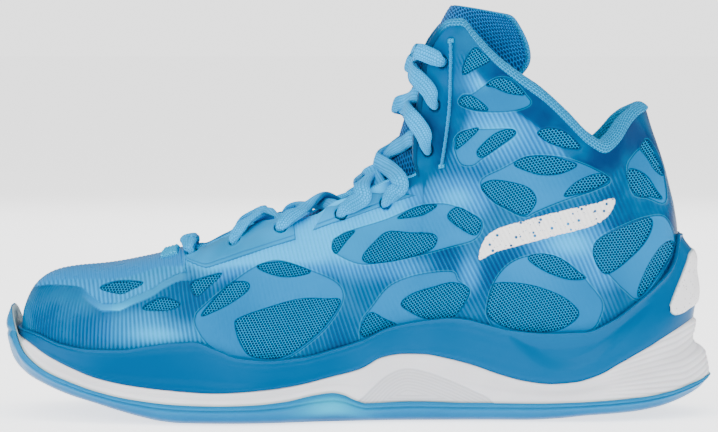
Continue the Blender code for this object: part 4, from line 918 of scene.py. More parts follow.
def surface(s, dist, side):
    """Point, outward normal and edge direction of the upper at (arc, edge distance)."""
    def at(s1, d1):
        ring = SPARSE
        order = np.arange(ring.half + 1)
        if side > 0:
            order = (ring.n - order) % ring.n
        ss = ring.s[order]
        foot = ring.foot()
        f = np.array([np.interp(s1, ss, foot[order, k]) for k in range(3)])
        nn = np.array([np.interp(s1, ss, ring.nx[order]), np.interp(s1, ss, ring.ny[order])])
        c = curves(s1, side, f[None], nn[None], np.linspace(0, 1, 161))[0][::-1]
        return np.array([np.interp(d1, running(c), c[:, k]) for k in range(3)])

    p = at(s, dist)
    du = at(s + 1.0, dist) - at(s - 1.0, dist)
    dv = at(s, dist + 1.0) - at(s, max(dist - 1.0, 0))
    n = unit(np.cross(du, dv) * (-1 if side < 0 else 1))
    if n[2] + 1.5 * n[1] * side < 0:
        n = -n
    return p, n, unit(du)


class Track:
    """Fast look-up of the upper's surface on one side by arc and edge distance."""

    def __init__(self, up, side):
        r = up.ring
        ids = [i for i in range(r.n) if r.side[i] == side]
        if side > 0:
            ids = ids[::-1]
        self.s = r.s[ids]
        self.p = (up.g + up.n * 0.12)[ids][:, ::-1]
        self.n = up.n[ids][:, ::-1]
        self.d = up.d[ids][:, ::-1]

    def at(self, s, d):
        """Points and normals for arrays of arc positions and edge distances."""
        s, d = np.broadcast_arrays(np.asarray(s, float), np.asarray(d, float))
        k = np.clip(np.interp(s, self.s, np.arange(len(self.s))), 0, len(self.s) - 1.001)
        i = k.astype(int)
        f = (k - i)[..., None]
        pts, nrm = [], []
        for j in (i, i + 1):
            dist = self.d[j]
            m = dist.shape[-1]
            below = (dist <= d[..., None]).sum(-1) - 1
            b = np.clip(below, 0, m - 2)
            d0 = np.take_along_axis(dist, b[..., None], -1)[..., 0]
            d1 = np.take_along_axis(dist, b[..., None] + 1, -1)[..., 0]
            t = np.clip((d - d0) / (d1 - d0 + 1e-9), 0, 1)[..., None]
            pts.append(self.p[j, b] * (1 - t) + self.p[j, b + 1] * t)
            nrm.append(self.n[j, b] * (1 - t) + self.n[j, b + 1] * t)
        return pts[0] * (1 - f) + pts[1] * f, unit(nrm[0] * (1 - f) + nrm[1] * f)


def stay_plate(name, track, s0, s1, slant0, slant1, border, holes, mat):
    """Raised eyestay overlay: straight lower border, slanted ends, scalloped top."""
    a = np.linspace(0, 1, 190)[:, None]
    b = np.linspace(0, 1, 46)[None]
    s = s0 + slant0 * (1 - b) + a * (s1 - slant1 * (1 - b) - s0 - slant0 * (1 - b))
    probe = np.linspace(4, 22, 60)
    mid = np.linspace(s0 - 2, s1 + 2, 60)
    p, _ = track.at(mid[:, None], probe[None])
    u, v = side_view(p)
    gap = v - (border[0] + border[1] * u)
    reach = np.array([np.interp(0, -g, probe) for g in gap])
    hi = np.interp(s, mid, blur_open(reach, 6))
    ends = np.minimum(s - s0, s1 - s)
    lo = 2.6 + 1.0 * np.cos((s - s0) * 2 * math.pi / 9.2) * step(ends, 4, 10)
    d = lo + (hi - lo) * b
    p, n = track.at(s, d)
    long = np.linalg.norm(p[-1, 23] - p[0, 23])
    side = np.minimum(a, 1 - a) * long
    rim = np.minimum(side + 0 * d, np.minimum(d - lo, hi - d))
    q = np.clip(rim / 0.8, 0, 1)
    h = 1.15 * np.sqrt(q * (2 - q)) - 0.25
    low = hi - d
    h = h - 0.34 * np.exp(-((low - 2.1) / 0.35) ** 2) * step(side, 1.0, 2.4)
    hole = hole_distance(p, holes)
    h = h + 0.3 * np.exp(-((hole - 3.5) / 0.6) ** 2) - 2.6 * step(hole, 2.7, 2.1)
    return lay(name, p + n * h[..., None], quads(*d.shape), mat,
               {"rimd": rim, "hole": hole, "low": low, "gu": s, "gv": d})


def stay_material():
    """Glossy moulded overlay with a groove along its border; painted shade in the groove, at its
    edge and in the eyelet holes.
    """
    m = Mat("eyestay_gloss", 0.3)
    rim, hole = m.attr("rimd"), m.attr("hole")
    c = m.two_tone(30, lin(66, 182, 230), lin(44, 168, 220), 2.0)
    # painted shade in the groove along the lower border
    groove = m.ramp(m.size_of(m.attr("low"), -2.1), 0.5, 0.1)
    c = m.mix(m.mul(groove, 0.55), c, lin(20, 140, 208))
    # painted shade at the rounded edge
    edge = m.ramp(rim, 0.75, 0.1)
    c = m.mix(m.mul(edge, 0.75), c, lin(12, 124, 196))
    # painted shade in the eyelet holes
    c = m.mix(m.ramp(hole, 2.9, 2.3), c, lin(0, 70, 130))
    m.set("Base Color", c)
    m.handled(4, 0.2, 0.25)
    m.set("Coat Weight", 0.05)
    m.set("Normal", m.bump(m.noise(0.7, 2.0), 0.025))
    return m.m


def build_loop(tracks, mat):
    """Webbing strap over the base of the throat, with cross ribs."""
    s = np.linspace(92.6, 100.6, 46)
    d = np.linspace(0, 15.5, 70)
    e = np.clip(np.minimum(np.minimum(s - s[0], s[-1] - s)[:, None], (d[-1] - d)[None]), 0, 1)
    h = 1.5 * np.sqrt(e * (2 - e)) - 0.2
    h = h + 0.16 * np.cos(s * 2 * math.pi / 1.6)[:, None] * step(e, 0, 1)
    h = h + 0.5 * np.exp(-((d - 9) / 2.4) ** 2)[None] * step(e, 0, 1)
    halves = []
    for side, _ in SIDES:
        p, n = tracks[side].at(s[:, None], d[None])
        halves.append(p + n * h[..., None])
    grid = np.concatenate([halves[0][:, ::-1], halves[1][:, 1:]], 1)
    v = np.concatenate([-d[::-1], d[1:]])
    u = s[:, None] + 0 * v[None]
    return lay("vamp_loop_web", grid, quads(*u.shape), mat, {"gu": u, "gv": v[None] + 0 * u})


def build_binding(up, mat):
    """Padded knit roll round the collar and down both flap fronts."""
    r = up.ring
    rows, front = [], []
    for i in [i for i in range(r.n) if r.s[i] >= 200.2]:
        s, g, n = r.s[i], up.g[i], up.n[i]
        reach = float(skirt(s))
        low_row = g.shape[0] - 1 - int(round(reach / (BAND / 8)))
        low = np.array([np.interp(reach, up.d[i][::-1], g[::-1, k]) for k in range(3)])
        top, m2 = g[-1], n[low_row - 1]
        t = unit(top - g[low_row - 1])
        m = unit(n[-2] - t * (n[-2] @ t))
        total = INNER + float(pad_at(s, 0.0))
        fat = 0.55 + 0.5 * float(step(s, 290, 330))
        h = 1.2 + (0.13 + 0.12 * float(step(s, 292, 315))) * total
        key = [low, low + t * 0.25 + m2 * (0.55 * fat + 0.2),
               low + t * 0.45 * reach + m2 * (1.0 * fat + 0.2),
               top - t * 0.25 * reach + m * (1.25 * fat),
               top + t * 0.5 + m * (0.75 * fat), top + t * (0.8 * h) - m * 0.16 * total,
               top + t * h - m * 0.5 * total, top + t * (0.78 * h) - m * 0.86 * total,
               top + t * 0.3 - m * (total + 0.45)]
        for down, proud in ((3.0, 0.5), (7.0, 0.3), (9.0, -0.4)):
            key.append(top - t * down - m * (INNER + float(pad_at(s, down)) + proud))
        rows.append(spline(key, 3))
        front.append(np.full(len(rows[-1]), float(step(s, 229, 225))))
    rows = np.array(rows)
    gu = running(rows[:, 12])[:, None] + 0 * rows[..., 0]
    gv = running(rows, 1)
    rows = blur_open(rows, 2)
    n, m = rows.shape[:2]
    nrm = unit(np.cross(np.gradient(rows, axis=0), np.gradient(rows, axis=1)))
    cell = np.abs(np.sin(gu * math.pi / 1.9)) * np.abs(np.sin((gv + 0.95 * np.floor(
        gu / 1.9)) * math.pi / 1.9))
    column = np.arange(m)[None] + 0 * gu
    flat = step(column, 0, 3) * step(column, m - 1, m - 4)
    rows = rows - nrm * (0.16 * cell * flat)[..., None]
    return lay("collar_roll", rows, quads(n, m), mat, {"gu": gu, "gv": gv, "front": front})


def build_lining(name, ring, s0, s1, mat, start=8.5, reach=2.6):
    """Inner face of the upper, over the padding, tucked in under the sockliner edge."""
    g, d = upper(ring, 60, 4)
    n = grid_normals(g)
    s = ring.s[:, None] + 0 * d
    p = g - n * (INNER + pad_at(s, d))[..., None]
    foot = 0 if d[0, 0] > d[0, -1] else -1
    tuck = p[:, foot] - unit(n[:, foot] * np.array([1, 1, 0])) * reach
    mid = 0.5 * (ring.s + np.roll(ring.s, -1))
    ok = (mid >= s0) & (mid < s1)
    mask = np.repeat(ok[:, None], g.shape[1] - 1, axis=1)
    mask &= ~((0.5 * (d[:, 1:] + d[:, :-1]) < start) & (mid[:, None] > 200))
    if foot:
        p, s = np.hstack([p, tuck[:, None]]), np.hstack([s, s[:, -1:]])
        d, mask = np.hstack([d, d[:, -1:] + reach]), np.hstack([mask, ok[:, None]])
    else:
        p, s = np.hstack([tuck[:, None], p]), np.hstack([s[:, :1], s])
        d, mask = np.hstack([d[:, :1] + reach, d]), np.hstack([ok[:, None], mask])
    return lay(name, p, quads(*p.shape[:2], True, False, mask), mat,
               {"gu": s, "gv": d}, 0.004, True)


def tongue_surface(rows, cols):
    """Outer face of the tongue: points, normals, running lengths both ways."""
    k = np.array(TONGUE, float)
    ts = np.linspace(0, 1, rows)
    cx, cz, hw, sw, an = (pchip(k[:, (0, c)], ts) for c in range(1, 6))
    near = np.clip((ts - 0.85) / 0.15, 0, 1)
    f = 1 - 0.24 * near ** 2.2
    q = np.linspace(-1, 1, cols)[None] * f[:, None]
    dep = sw[:, None] * np.abs(q) ** 2.1
    y = hw[:, None] * np.sin(q * 1.25) / math.sin(1.25)
    a = np.radians(an)[:, None]
    g = np.stack([cx[:, None] + dep * np.cos(a), y + pchip(CENTRE, cx)[:, None],
                  cz[:, None] + dep * np.sin(a)], -1)
    n = unit(np.cross(np.gradient(g, axis=0), np.gradient(g, axis=1)))
    if n[rows // 2, cols // 2, 0] > 0:
        n = -n
    u = running(g, 1)
    return g, n, u - u[:, cols // 2, None], running(g), ts


def build_tongue(mesh_mat, back_mat, trim_mat):
    """Face, back and top edging of the tongue."""
    rows, cols = 300, 150
    g, n, u, v, ts = tongue_surface(rows, cols)
    q = np.linspace(-1, 1, cols)
    thick = 2.2 + np.outer(pchip([(0, 1.2), (0.3, 2.2), (0.6, 3.8), (0.9, 4.6), (1, 3.6)], ts),
                           pchip([(-1, 0.4), (-0.7, 0.85), (0, 1), (0.7, 0.85), (1, 0.4)], q))
    edge = np.minimum(1 - np.abs(q), 0.12) / 0.12
    soft = np.sqrt(np.clip(edge * (2 - edge), 0, 1))[None]
    tall = step(ts, 1.0, 0.985)[:, None] * 0.12 + 0.88
    mid = g - n * (0.5 * thick)[..., None]
    half = (0.5 * thick * soft + 0.05) * tall
    front = mid + n * (half + 0.28 * tongue_cells(u, v))[..., None]
    back = mid - n * half[..., None]
    fields = {"gu": u, "gv": v}
    face = lay("tongue_face", front, quads(rows, cols), mesh_mat, fields, 0, True)
    rear = lay("tongue_back", back, quads(rows, cols), back_mat, fields)

    def border(a):
        """Values up one edge, over the top and down the other edge."""
        lo = int(rows * 0.70)
        return np.concatenate([a[lo:, 0], a[-1, 1:], a[rows - 2:lo:-1, -1]])

    path, nm = blur_open(border(mid), 8), border(n)
    size = np.minimum(blur_open(border(0.5 * thick), 8), 2.2)[:, None, None]
    out = unit(np.cross(unit(np.gradient(path, axis=0)), nm))
    ring = np.linspace(0, 2 * math.pi, 17)[None, :-1]
    pts = (path[:, None] + nm[:, None] * (np.cos(ring)[..., None] * (size * 0.75 + 0.35))
           + out[:, None] * np.sin(ring)[..., None] * 1.15)
    run = running(path)[:, None]
    trim = lay("tongue_trim", pts, quads(len(path), 16, False, True), trim_mat,
               {"gu": run + 0 * ring, "gv": ring * 2.0 + 0 * run})
    return face, rear, trim


def tongue_cells(u, v):
    """Relief of the coarse air mesh: 1 on the threads, 0 in the holes."""
    row = v / AIR_MESH[1]
    k = np.floor(row)
    a = (u / AIR_MESH[0] + 0.5 * k) % 1.0 - 0.5
    return step((2 * a) ** 2 + (2 * (row - k - 0.5)) ** 2, 0.35, 1.0)


def tongue_material():
    """Coarse air mesh with dark holes."""
    m = Mat("tongue_air_mesh", 0.75)
    _, round_ = m.cells(m.attr("gu"), m.attr("gv"), *AIR_MESH)
    web = m.ramp(round_, 0.35, 1.0)
    c = m.mix(web, lin(0, 90, 160), lin(28, 166, 230))
    m.set("Base Color", m.blotch(20, 0.3, c, lin(0, 116, 190), 2.0, 0.7))
    m.set("Sheen Weight", 0.06)
    m.fuzz(web, 0.5, 0.3, 0.35)
    return m.m


def ribbon(name, rows, mat, sides=18):
    """Flat rounded lace along rows of centre, side vector, width and thickness."""
    p = rows[:, :3]
    tan = unit(np.gradient(p, axis=0))
    sd = unit(rows[:, 3:6] - (rows[:, 3:6] * tan).sum(1)[:, None] * tan)
    for _ in range(6):
        sd[1:-1] = unit(0.25 * sd[:-2] + 0.5 * sd[1:-1] + 0.25 * sd[2:])
    up = np.cross(tan, sd)
    run = running(p)[:, None]
    a = np.linspace(0, 2 * math.pi, sides + 1)[:-1]
    c = np.sign(np.cos(a)) * np.abs(np.cos(a)) ** 0.8
    s = np.sign(np.sin(a)) * np.abs(np.sin(a)) ** 0.7
    w = rows[:, 6, None] * 0.56
    t = rows[:, 7, None] * 0.66 * (1 + 0.05 * np.cos(run * 2 * math.pi / 1.5))
    pts = p[:, None] + sd[:, None] * (w * c)[..., None] + up[:, None] * (t * s)[..., None]
    gv = np.arange(1, sides + 1) * 0.85 + 0 * run
    return lay(name, pts, quads(len(p), sides, False, True), mat,
               {"gu": run + 0 * gv, "gv": gv})


def tube(name, path, radius, mat, sides=10, twist=0.12, pitch=2.0):
    """Round cord with a braided surface."""
    p = np.asarray(path, float)
    tan = unit(np.gradient(p, axis=0))
    a0 = unit(np.cross(tan, [1.0, 0.2, 0.1]))
    b0 = np.cross(tan, a0)
    run = running(p)[:, None]
    a = np.linspace(0, 2 * math.pi, sides + 1)[None, :-1]
    r = radius * (1 + twist * np.cos(3 * a + run * 2 * math.pi / pitch))
    pts = (p[:, None] + a0[:, None] * (r * np.cos(a))[..., None]
           + b0[:, None] * (r * np.sin(a))[..., None])
    return lay(name, pts, quads(len(p), sides, False, True), mat,
               {"gu": run + 0 * r, "gv": a * radius + 0 * r})


def pillow(name, centre, u, v, n, a, b, h, mat):
    """Small rounded tack of half sizes a by b and height h."""
    s = np.linspace(-1, 1, 14)
    x, y = np.meshgrid(s, s, indexing="ij")
    z = (1 - x ** 4) ** 0.5 * (1 - y ** 4) ** 0.5
    p = (centre + x[..., None] * u * a + y[..., None] * v * b + (z * h - 0.4)[..., None] * n)
    return lay(name, p, quads(14, 14), mat, {"gu": x * a, "gv": y * b})


def at_height(g, z):
    """Plan position of the upper's outer surface at height z, per station."""
    out = np.empty((len(g), 2))
    for i in range(len(g)):
        c = g[i]
        top = int(np.argmax(c[:, 2])) + 1
        zz = min(max(z[i], c[0, 2]), c[top - 1, 2])
        out[i, 0] = np.interp(zz, c[:top, 2], c[:top, 0])
        out[i, 1] = np.interp(zz, c[:top, 2], c[:top, 1])
    return out


def near_upper(ring, g, z, off):
    """Rail at height z, standing off the upper's outer surface."""
    xy = at_height(g, z)
    return np.stack([xy[:, 0] + ring.nx * off, xy[:, 1] + ring.ny * off, z], 1)


def between(rails, fractions, steps):
    """More rails along a smooth curve through a few of them."""
    pts = np.stack(rails, 1)
    f = np.asarray(fractions, float)
    t = np.linspace(f[0], f[-1], steps)
    h = np.diff(f)
    slope = np.gradient(pts, f, axis=1)
    i = np.clip(np.searchsorted(f, t) - 1, 0, len(f) - 2)
    w = ((t - f[i]) / h[i])[None, :, None]
    a, b = pts[:, i], pts[:, i + 1]
    ma, mb = slope[:, i] * h[i][None, :, None], slope[:, i + 1] * h[i][None, :, None]
    return (a * (1 + 2 * w) * (1 - w) ** 2 + ma * w * (1 - w) ** 2
            + b * w * w * (3 - 2 * w) + mb * w * w * (w - 1))


def raised(rail, edge, share, most):
    """Lift a rail by a share of the way to the edge above it, over at most a height."""
    rail[:, 2] += share * (np.minimum(edge[:, 2], rail[:, 2] + most) - rail[:, 2])
    return rail


def build_outsole(ring, mat):
    """Cup sole: herringbone tread, rounded wall and a brim against the midsole."""
    s = ring.s
    lip = pchip(LIP, s)
    ground = ring.rail([(0, 8.5), (30, 7.5), (60, 6.5), (355, 6.5)], BOTTOM)
    edge = ring.rail(lip, OUTSOLE_TOP)
    low = raised(ring.rail(1.5, BOTTOM), edge, 0.45, 14)
    mid = raised(ring.rail(0.3, BOTTOM), edge, 0.72, 20)
    under = raised(ring.rail([(0, 4.6), (60, 3.6), (355, 3.6)], BOTTOM), edge, 0.14, 14)
    brim = ring.rail(lip + 0.15, OUTSOLE_TOP)
    brim[:, 2] += 0.1
    inner = ring.rail(lip + 1.7, OUTSOLE_TOP)
    wall_rows, count = 26, 58
    wall = between([ground, under, low, mid, edge], [0, 0.2, 0.5, 0.78, 1.0], wall_rows)
    f = np.linspace(0, 1, wall_rows)[None]
    past_toe = step(s, 34, 60)[:, None]
    swell = -0.55 * np.exp(-((f - 0.80) / 0.06) ** 2) * past_toe
    swell = swell + 0.5 * np.exp(-((f - 0.9) / 0.05) ** 2) * past_toe
    u, _ = side_view(wall)
    hump = np.exp(-((u + 12) / 13) ** 2) * step(f, 0.2, 0.5) * step(f, 1.0, 0.8)
    groove = np.exp(-((wall[..., 2] - 35.5) / 1.1) ** 2) * step(s, 34, 14)[:, None]
    swell = swell + 1.1 * hump - 0.8 * groove
    wall = wall + ring.outward() * swell[..., None]
    flat = ring.spine(BOTTOM)
    k = np.linspace(0, 1, count)[None, :, None]
    floor = flat[:, None] * (1 - k) + ground[:, None] * k
    tread = tread_depth(floor[..., 0], floor[..., 1]) * step(k[..., 0], 0.97, 0.9)
    floor[..., 2] = pchip(BOTTOM, floor[..., 0]) + 1.3 * tread
    pts = np.concatenate([floor[:, :-1], wall, brim[:, None], inner[:, None]], 1)
    n, m = pts.shape[:2]
    fields = {name: np.zeros((n, m)) for name in ("groove", "rise", "lens")}
    on_wall = slice(count - 1, count - 1 + wall_rows)
    fields["groove"][:, :count - 1] = tread[:, :-1]
    fields["rise"][:, on_wall] = f
    fields["lens"][:, on_wall] = hump
    return lay("outsole_rubber", pts, quads(n, m, True), mat, fields, 0.004)


def tread_depth(x, y):
    """Herringbone grooves: 1 in a groove, 0 on a lug, with a smooth pivot circle."""
    bend = np.abs((y + 0.06 * x) % 22.0 - 11.0) * 0.9
    g = step(np.abs((x + bend) % 5.4 - 2.7), 1.15, 0.55)
    split = step(np.abs(x - 6.0 + 0.1 * y), 17, 15)
    g = g * (1 - split)
    disc = np.hypot(x + 82, y + 2)
    g = np.where(disc < 16, step(np.abs(disc - 14), 1.4, 0.7), g)
    g = np.where(disc < 12.5, step(np.abs(disc % 4.6 - 2.3), 1.0, 0.5), g)
    arch = split * step(np.abs((y * 0.8 + x * 0.2) % 4.0 - 2.0), 0.9, 0.4) * 0.5
    return np.maximum(g, arch)


def rubber_material():
    """Translucent rubber, lighter where it swells at the arch, with painted shade in the tread
    grooves and in the crease under the brim.
    """
    m = Mat("rubber_translucent", 0.38)
    f = m.attr("rise")
    c = m.mix(m.ramp(f, 0.0, 0.9), lin(26, 136, 202), lin(54, 160, 216))
    c = m.mix(m.mul(m.attr("lens"), 0.7), c, lin(120, 196, 226))
    c = m.blotch(40, 0.35, c, lin(70, 166, 218), 2.0)
    # painted shade in the tread grooves
    c = m.mix(m.mul(m.attr("groove"), 0.6), c, lin(24, 118, 178))
    # painted shade in the crease just below the brim
    brim = m.ramp(m.size_of(f, -0.8), 0.06, 0.0)
    c = m.mix(m.mul(brim, 0.35), c, lin(28, 120, 176))
    m.set("Base Color", c)
    m.handled(7, 0.2, 0.26)
    m.set("Subsurface Weight", 0.35)
    m.set("Subsurface Radius", (0.25, 0.7, 1.0))
    m.set("Subsurface Scale", 0.006)
    m.set("Coat Weight", 0.05)
    m.set("Normal", m.bump(m.noise(0.9, 3.0, 0.6), 0.05))
    return m.m


def build_midsole(ring, g, mat):
    """Foam wall between outsole and rand, grooved at the heel, with a side panel."""
    s = ring.s
    lip = pchip(LIP, s)
    keys = [(0, 5.4), (30, 4.6), (45, 3.4), (120, 3.2), (230, 3.4), (300, 5.0), (355, 7.6)]
    rand = ring.rail(keys, RAND_LINE)
    base = ring.rail(lip + 0.2, OUTSOLE_TOP)
    base[:, 2] += 0.15
    z0, span = base[:, 2], rand[:, 2] - base[:, 2]
    insets = [(0.0, [(0, 3.5), (41, 1.3), (60, 0.9), (355, 0.7)]),
              (0.12, [(0, 4.6), (41, 1.6), (60, 1.2), (300, 1.1), (355, 0.9)]),
              (0.30, [(0, 4.7), (45, 1.5), (230, 1.3), (300, 1.4), (355, 1.9)]),
              (0.44, [(0, 4.8), (45, 1.8), (230, 1.6), (300, 2.2), (355, 3.4)]),
              (0.52, [(0, 4.9), (45, 2.1), (230, 2.0), (300, 3.2), (355, 6.6)]),
              (0.60, [(0, 5.0), (45, 2.4), (230, 2.3), (300, 4.2), (355, 8.0)]),
              (0.80, [(0, 5.2), (45, 3.0), (230, 3.0), (300, 4.6), (355, 7.0)]),
              (0.95, [(0, 5.4), (45, 3.4), (230, 3.4), (300, 4.8), (355, 6.9)]),
              (1.00, [(0, 5.6), (45, 3.7), (230, 3.7), (300, 5.3), (355, 7.9)])]
    rails = [ring.rail(k, z0 + f * span) for f, k in insets]
    wall = between(rails, [f for f, _ in insets], 44)
    u, v = side_view(wall)
    heel = step(u, 98, 128)
    angle = np.arctan2(v - 12.0, u - 70.0)
    turn = step(s, 322, 352)[:, None]
    fan = angle * 26.0 * (1 - turn) + (wall[..., 2] - 16.0) * 0.44 * turn
    cutline = 0.5 + 0.5 * np.cos(2 * math.pi * fan)
    arch = nearest([ARCH], u, v, 6, 14.0)
    depth = -0.42 * cutline ** 3 * heel
    dish = step(arch, 0.3, -0.6)
    depth = depth - 0.5 * dish + 0.12 * np.cos(arch * 2 * math.pi / 1.3) * dish
    wall = wall + ring.outward() * depth[..., None]
    first = ring.rail(np.maximum(4.85, lip + 2.3), BOTTOM)
    first[:, 2] += OUTSOLE_T + GAP
    shelf = near_upper(ring, g, rand[:, 2], 0.2)
    pts = np.concatenate([first[:, None], wall, shelf[:, None]], 1)
    fields = {"arch": arch, "fan": fan, "heel": heel, "low": wall[..., 2] - base[:, None, 2]}
    fields = {name: np.pad(f, ((0, 0), (1, 1)), mode="edge") for name, f in fields.items()}
    n, m = pts.shape[:2]
    return lay("midsole_foam", pts, quads(n, m, True), mat, fields, 0.004)


def foam_material():
    """White moulded foam with a grey ribbed side panel and grooves at the heel, with painted shade
    in the grooves.
    """
    m = Mat("midsole_white", 0.55, tint=WHITE)
    arch = m.attr("arch")
    c = m.two_tone(30, lin(226, 226, 230), lin(214, 214, 219))
    inside = m.ramp(arch, 0.25, -0.25)
    lines = m.wave(arch, 1.3)
    grey = m.mix(m.mul(lines, 0.55), lin(190, 191, 197), lin(212, 213, 218))
    c = m.mix(inside, c, grey)
    # painted shade in the heel grooves
    groove = m.mul(m.math("POWER", m.wave(m.attr("fan"), 1.0), 3.0), m.attr("heel"))
    c = m.mix(m.mul(groove, 0.35), c, lin(168, 168, 176))
    c = m.mix(m.mul(m.ramp(m.attr("low"), 1.2, 0.0), 0.5), c, lin(120, 168, 192))
    m.set("Base Color", c)
    m.handled(3, 0.2, 0.45)
    m.set("Subsurface Weight", 0.1)
    m.set("Subsurface Scale", 0.003)
    m.set("Normal", m.bump(m.noise(0.5, 3.0, 0.7), 0.05))
    return m.m


def cage_surface(ring, g):
    """Wall of the rand, from the midsole up to its rim on the upper, and the rim's height."""
    d_low = [(0, 5.4), (30, 4.7), (45, 3.5), (120, 3.2), (230, 3.4), (300, 5.2), (355, 8.0)]
    r0 = ring.rail(d_low, RAND_LINE)
    r0[:, 2] += 0.05
    probe = ring.rail([(0, 6), (45, 5), (230, 5), (300, 7), (355, 13)], RAND_TOP)
    z4, z0 = probe[:, 2], r0[:, 2]
    lows = pchip([(0, 5.4), (45, 3.9), (230, 3.4), (300, 5.2), (355, 6.1)], ring.s)
    tops = pchip([(0, 5.6), (45, 4.6), (230, 4.2), (300, 6.2), (355, 8.4)], ring.s)
    rails = [r0, ring.rail(pchip(d_low, ring.s) - 0.25, z0 + 0.05 * (z4 - z0))]
    marks = [0.0, 0.06]
    for f, d in ((0.28, lows), (0.55, 0.5 * (lows + tops)), (0.8, tops)):
        z = z0 + f * (z4 - z0)
        a = ring.rail(d, z)
        b = near_upper(ring, g, z, 1.9)
        out_a = a[:, 0] * ring.nx + a[:, 1] * ring.ny
        out_b = b[:, 0] * ring.nx + b[:, 1] * ring.ny
        soft = 0.5 * (1 + np.tanh((out_a - out_b) / 0.8))[:, None]
        rails.append(a * soft + b * (1 - soft))
        marks.append(f)
    rails.append(near_upper(ring, g, z4 - 0.5, 2.1))
    rails.append(near_upper(ring, g, z4 + 0.15, 1.75))
    marks += [0.94, 1.0]
    wall = between(rails, marks, 40)
    for _ in range(3):
        wall[:, 3:-4] = blur_ring(wall)[:, 3:-4]
    return wall, z4


def build_cage(ring, g, mat):
    """Moulded rand with a hollow at the heel and a lip along its rim."""
    wall, top = cage_surface(ring, g)
    f = np.linspace(0, 1, wall.shape[1])[None]
    u, v = side_view(wall)
    ridge = nearest([SCOOP], u, v, 6, 12.0)
    h = -1.5 * step(ridge, 1.2, -5.0)
    h = h + 0.5 * np.exp(-((f - 0.97) / 0.03) ** 2) - 0.45 * np.exp(-((f - 0.88) / 0.05) ** 2)
    wall = wall + ring.outward() * h[..., None]
    inner = near_upper(ring, g, top + 0.1, 0.1)
    down = near_upper(ring, g, top - 1.2, 0.1)
    pts = np.concatenate([wall, inner[:, None], down[:, None]], 1)
    fields = {name: np.pad(a, ((0, 0), (0, 2)), mode="edge")
              for name, a in (("rise", f + 0 * u), ("ridge", ridge))}
    ob = lay("rand_cage", pts, quads(*pts.shape[:2], True), mat, fields, 0.004)
    return ob, wall


def rand_material():
    """Satin blue plastic with painted shade at its foot and a painted highlight along its rim."""
    m = Mat("rand_satin", 0.32)
    f = m.attr("rise")
    c = m.two_tone(70, lin(0, 124, 196), lin(0, 138, 204), 2.0)
    # painted highlight along the lip of the rim
    c = m.mix(m.ramp(f, 0.72, 0.98, 0.0, 0.35), c, lin(10, 144, 206))
    # painted shade at its foot, where it meets the midsole
    c = m.mix(m.ramp(f, 0.1, 0.0, 0.0, 0.3), c, lin(0, 84, 150))
    m.set("Base Color", c)
    m.handled(8, 0.16, 0.26)
    m.set("Coat Weight", 0.05)
    m.set("Coat Roughness", 0.25)
    m.set("Normal", m.bump(m.noise(0.8, 3.0, 0.6), 0.035))
    return m.m


def build_insert(ring, wall, mat):
    """White moulded insert wrapping the back of the heel."""
    front = 131.3
    bottom = [(front, 45.6), (132.5, 43.8), (134.5, 43.0), (138, 43.6), (142, 45.4), (146, 47)]
    top = [(front, 46.4), (132.5, 49.2), (135, 54.2), (137.6, 59.2), (140, 64.2), (142.5, 69.2),
           (146, 71)]
    rows, field = [], []
    for i in range(ring.n):
        col = wall[i, np.argsort(wall[i, :, 2])]
        back = np.interp(52, col[:, 2], col[:, 0])
        if ring.s[i] < 300 or back < front:
            continue
        lo, hi = float(pchip(bottom, back)), float(pchip(top, back))
        z = np.linspace(lo, hi, 46)
        x, y = (np.interp(z, col[:, 2], col[:, k]) for k in (0, 1))
        e = np.minimum(np.minimum(z - lo, hi - z), (back - front) * 0.9)
        q = np.clip(e / 1.4, 0, 1)
        h = 1.3 * np.sqrt(q * (2 - q)) - 0.3
        rows.append(np.stack([x + ring.nx[i] * h, y + ring.ny[i] * h, z], 1))
        field.append(e)
    rows = np.array(rows)
    return lay("heel_insert_shell", rows, quads(*rows.shape[:2]), mat, {"rim": field})


def insert_material():
    """White plastic with fine pits and painted shade along its rounded edge."""
    m = Mat("insert_speckle", 0.5, tint=WHITE)
    dots = m.ramp(m.spots(1.5), 0.12, 0.32)
    c = m.mix(dots, lin(188, 186, 190), lin(228, 227, 229))
    # painted shade along the rounded edge
    c = m.mix(m.ramp(m.attr("rim"), 0.9, 0.0), c, lin(150, 170, 190))
    m.set("Base Color", c)
    m.handled(3, 0.2, 0.4, 2.0)
    m.fuzz(dots, 0.5, 0.4, 0.12)
    return m.m


def build_sock(mat):
    """Moulded sockliner: dished top and a rounded edge."""
    ring = Ring(200, 0.0)
    under = 2 * GAP + 1.3
    low = ring.rail([(s, d + 5.8) for s, d in RIM_IN], FOOTBED)
    centre = ring.spine(FOOTBED, 0.78)
    k = np.linspace(0, 1, 50)[None]
    grid = centre[:, None] * (1 - k[..., None]) + low[:, None] * k[..., None]
    grid[..., 2] = pchip(FOOTBED, grid[..., 0]) + under
    top = grid.copy()
    top[..., 2] += 4.9 * np.sqrt(np.clip(1 - (k - 0.94).clip(0) ** 2 / 0.0037, 0, 1))
    top[..., 2] -= 0.9 * step(1 - k, 0.05, 0.5)
    pts = np.concatenate([grid[:, -1:], top[:, ::-1]], 1)
    return lay("sockliner_top", pts, quads(*pts.shape[:2], True), mat,
               {"gu": pts[..., 0], "gv": pts[..., 1]}, 0.004)


def centre(x):
    """Middle of the shoe, seen from above, at x."""
    return float(pchip(CENTRE, x))


def tongue_line(column, other, at):
    """Centre line of the tongue's outer face: one column read at a value of another."""
    return float(pchip(np.array(TONGUE, float)[:, (other, column)], at))


